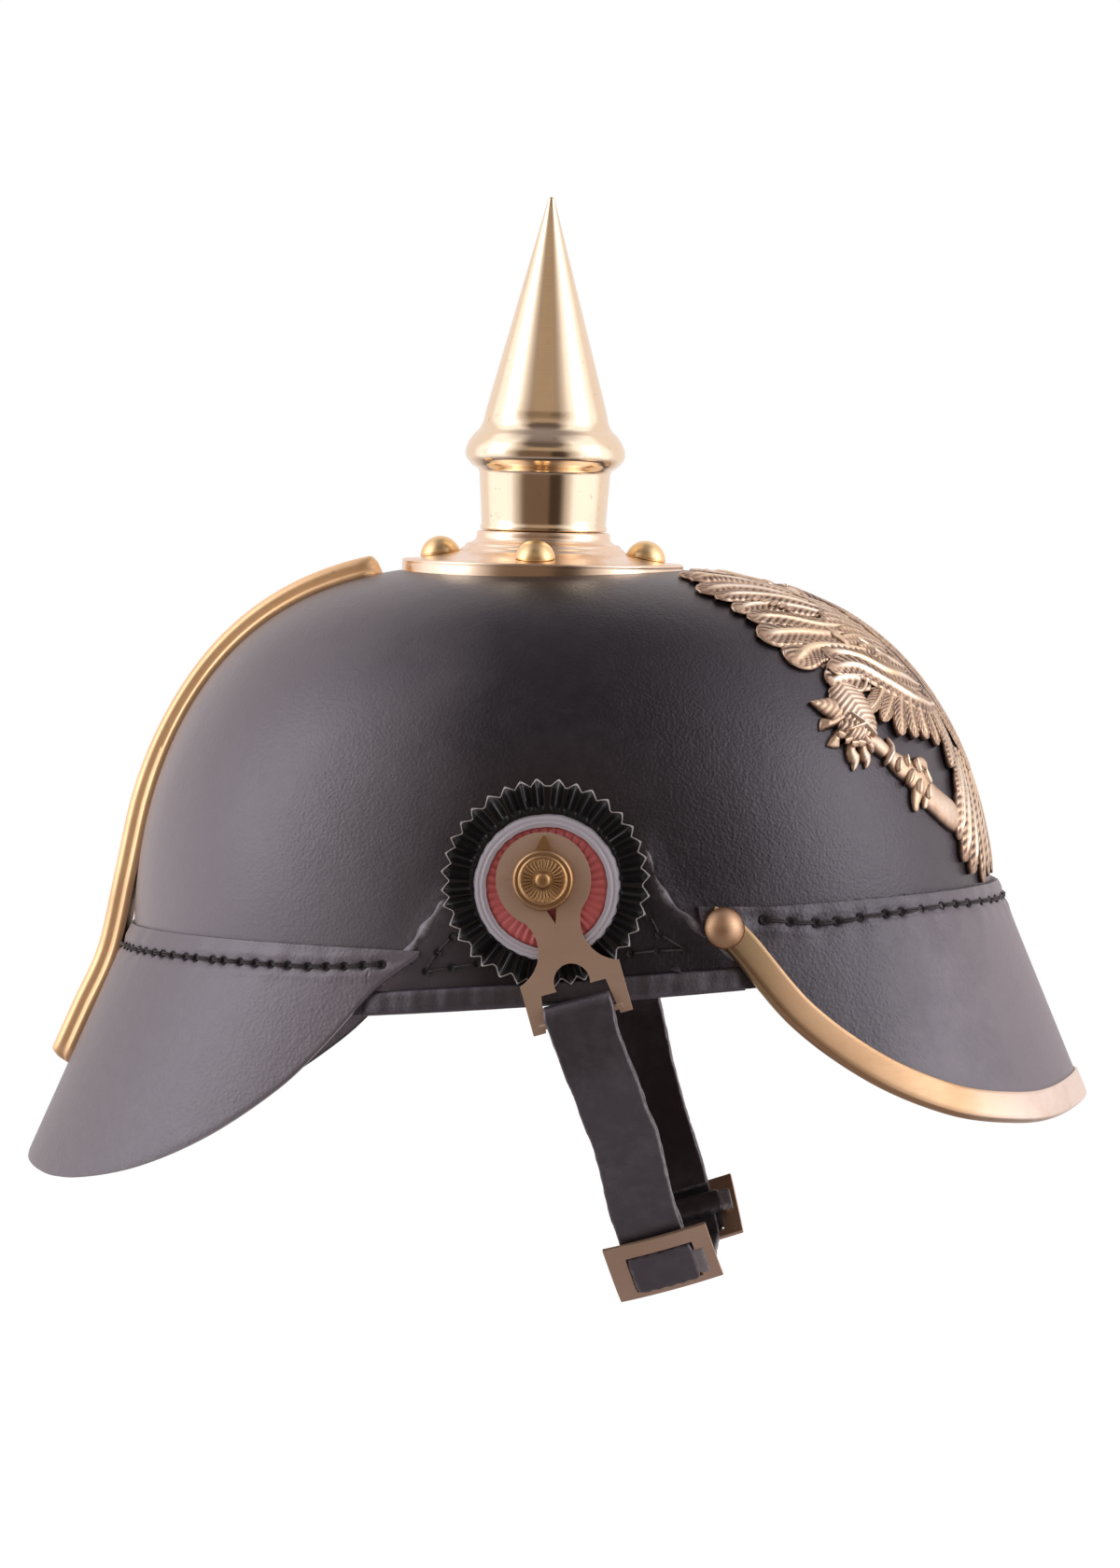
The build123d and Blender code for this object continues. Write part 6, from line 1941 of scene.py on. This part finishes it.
class HELMET_OT_spike(bpy.types.Operator):
    """Builds the spike, its base plate and its four studs"""
    bl_idname = "helmet.spike"
    bl_label = "Spike"

    def execute(self, context):
        make_spike()
        make_base_plate()
        make_base_studs()
        return {"FINISHED"}


class HELMET_OT_cockades(bpy.types.Operator):
    """Builds both cockades and the side posts that hold them"""
    bl_idname = "helmet.cockades"
    bl_label = "Cockades"

    def execute(self, context):
        for side, _ in SIDES:
            make_cockade(side)
            make_post(side)
        return {"FINISHED"}


class HELMET_OT_chinstrap(bpy.types.Operator):
    """Builds the chinstrap with its lugs, buckles and loops"""
    bl_idname = "helmet.chinstrap"
    bl_label = "Chinstrap"

    def execute(self, context):
        make_strap()
        for side, sign in SIDES:
            make_sleeve(side, sign)
        make_metal_fittings()
        return {"FINISHED"}


class HELMET_OT_eagle(bpy.types.Operator):
    """Builds the brass eagle plate"""
    bl_idname = "helmet.eagle"
    bl_label = "Eagle Plate"

    def execute(self, context):
        for side, mirror in (("right", -1), ("left", 1)):
            make_wing(side, mirror)
            make_leg(side, mirror)
        make_body()
        return {"FINISHED"}


class HELMET_OT_inside(bpy.types.Operator):
    """Builds the sweatband, its lace and the side patches, and finishes the fastenings"""
    bl_idname = "helmet.inside"
    bl_label = "Inside"

    def execute(self, context):
        make_liner()
        make_lace()
        make_patches()
        for node, finish in FASTENINGS:
            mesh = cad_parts[node].data
            mesh.materials.clear()
            mesh.materials.append(FINISHES[finish])
        return {"FINISHED"}


class HELMET_PT_panel(bpy.types.Panel):
    """Lists the steps that build the helmet"""
    bl_label = "Spiked Leather Helmet"
    bl_idname = "HELMET_PT_panel"
    bl_space_type = "VIEW_3D"
    bl_region_type = "UI"
    bl_category = "Helmet"

    def draw(self, context):
        for operator in OPERATORS:
            self.layout.operator(operator.bl_idname)
        helmet = context.scene.helmet
        for group in (helmet.leather, helmet.brass, helmet.cockade, helmet.sizes, helmet.studio):
            box = self.layout.box()
            for key in group.__annotations__:
                box.prop(group, key)


OPERATORS = (HELMET_OT_stage, HELMET_OT_shell, HELMET_OT_visors, HELMET_OT_trim, HELMET_OT_spike,
             HELMET_OT_cockades, HELMET_OT_chinstrap, HELMET_OT_eagle, HELMET_OT_inside)
CLASSES = (LeatherSettings, BrassSettings, CockadeSettings, SizeSettings, StudioSettings, HelmetSettings,
           *OPERATORS, HELMET_PT_panel)


def register():
    """Makes the settings, the operators and the panel known."""
    for cls in CLASSES:
        bpy.utils.register_class(cls)
    bpy.types.Scene.helmet = bpy.props.PointerProperty(type=HelmetSettings, name="Helmet",
                                                       description="Settings of the spiked leather helmet")


def unregister():
    """Removes them again."""
    del bpy.types.Scene.helmet
    for cls in reversed(CLASSES):
        bpy.utils.unregister_class(cls)


def main():
    """Builds the whole helmet."""
    register()
    bpy.ops.helmet.stage()
    bpy.ops.helmet.shell()
    bpy.ops.helmet.visors()
    bpy.ops.helmet.trim()
    bpy.ops.helmet.spike()
    bpy.ops.helmet.cockades()
    bpy.ops.helmet.chinstrap()
    bpy.ops.helmet.eagle()
    bpy.ops.helmet.inside()


if __name__ == "__main__":
    main()
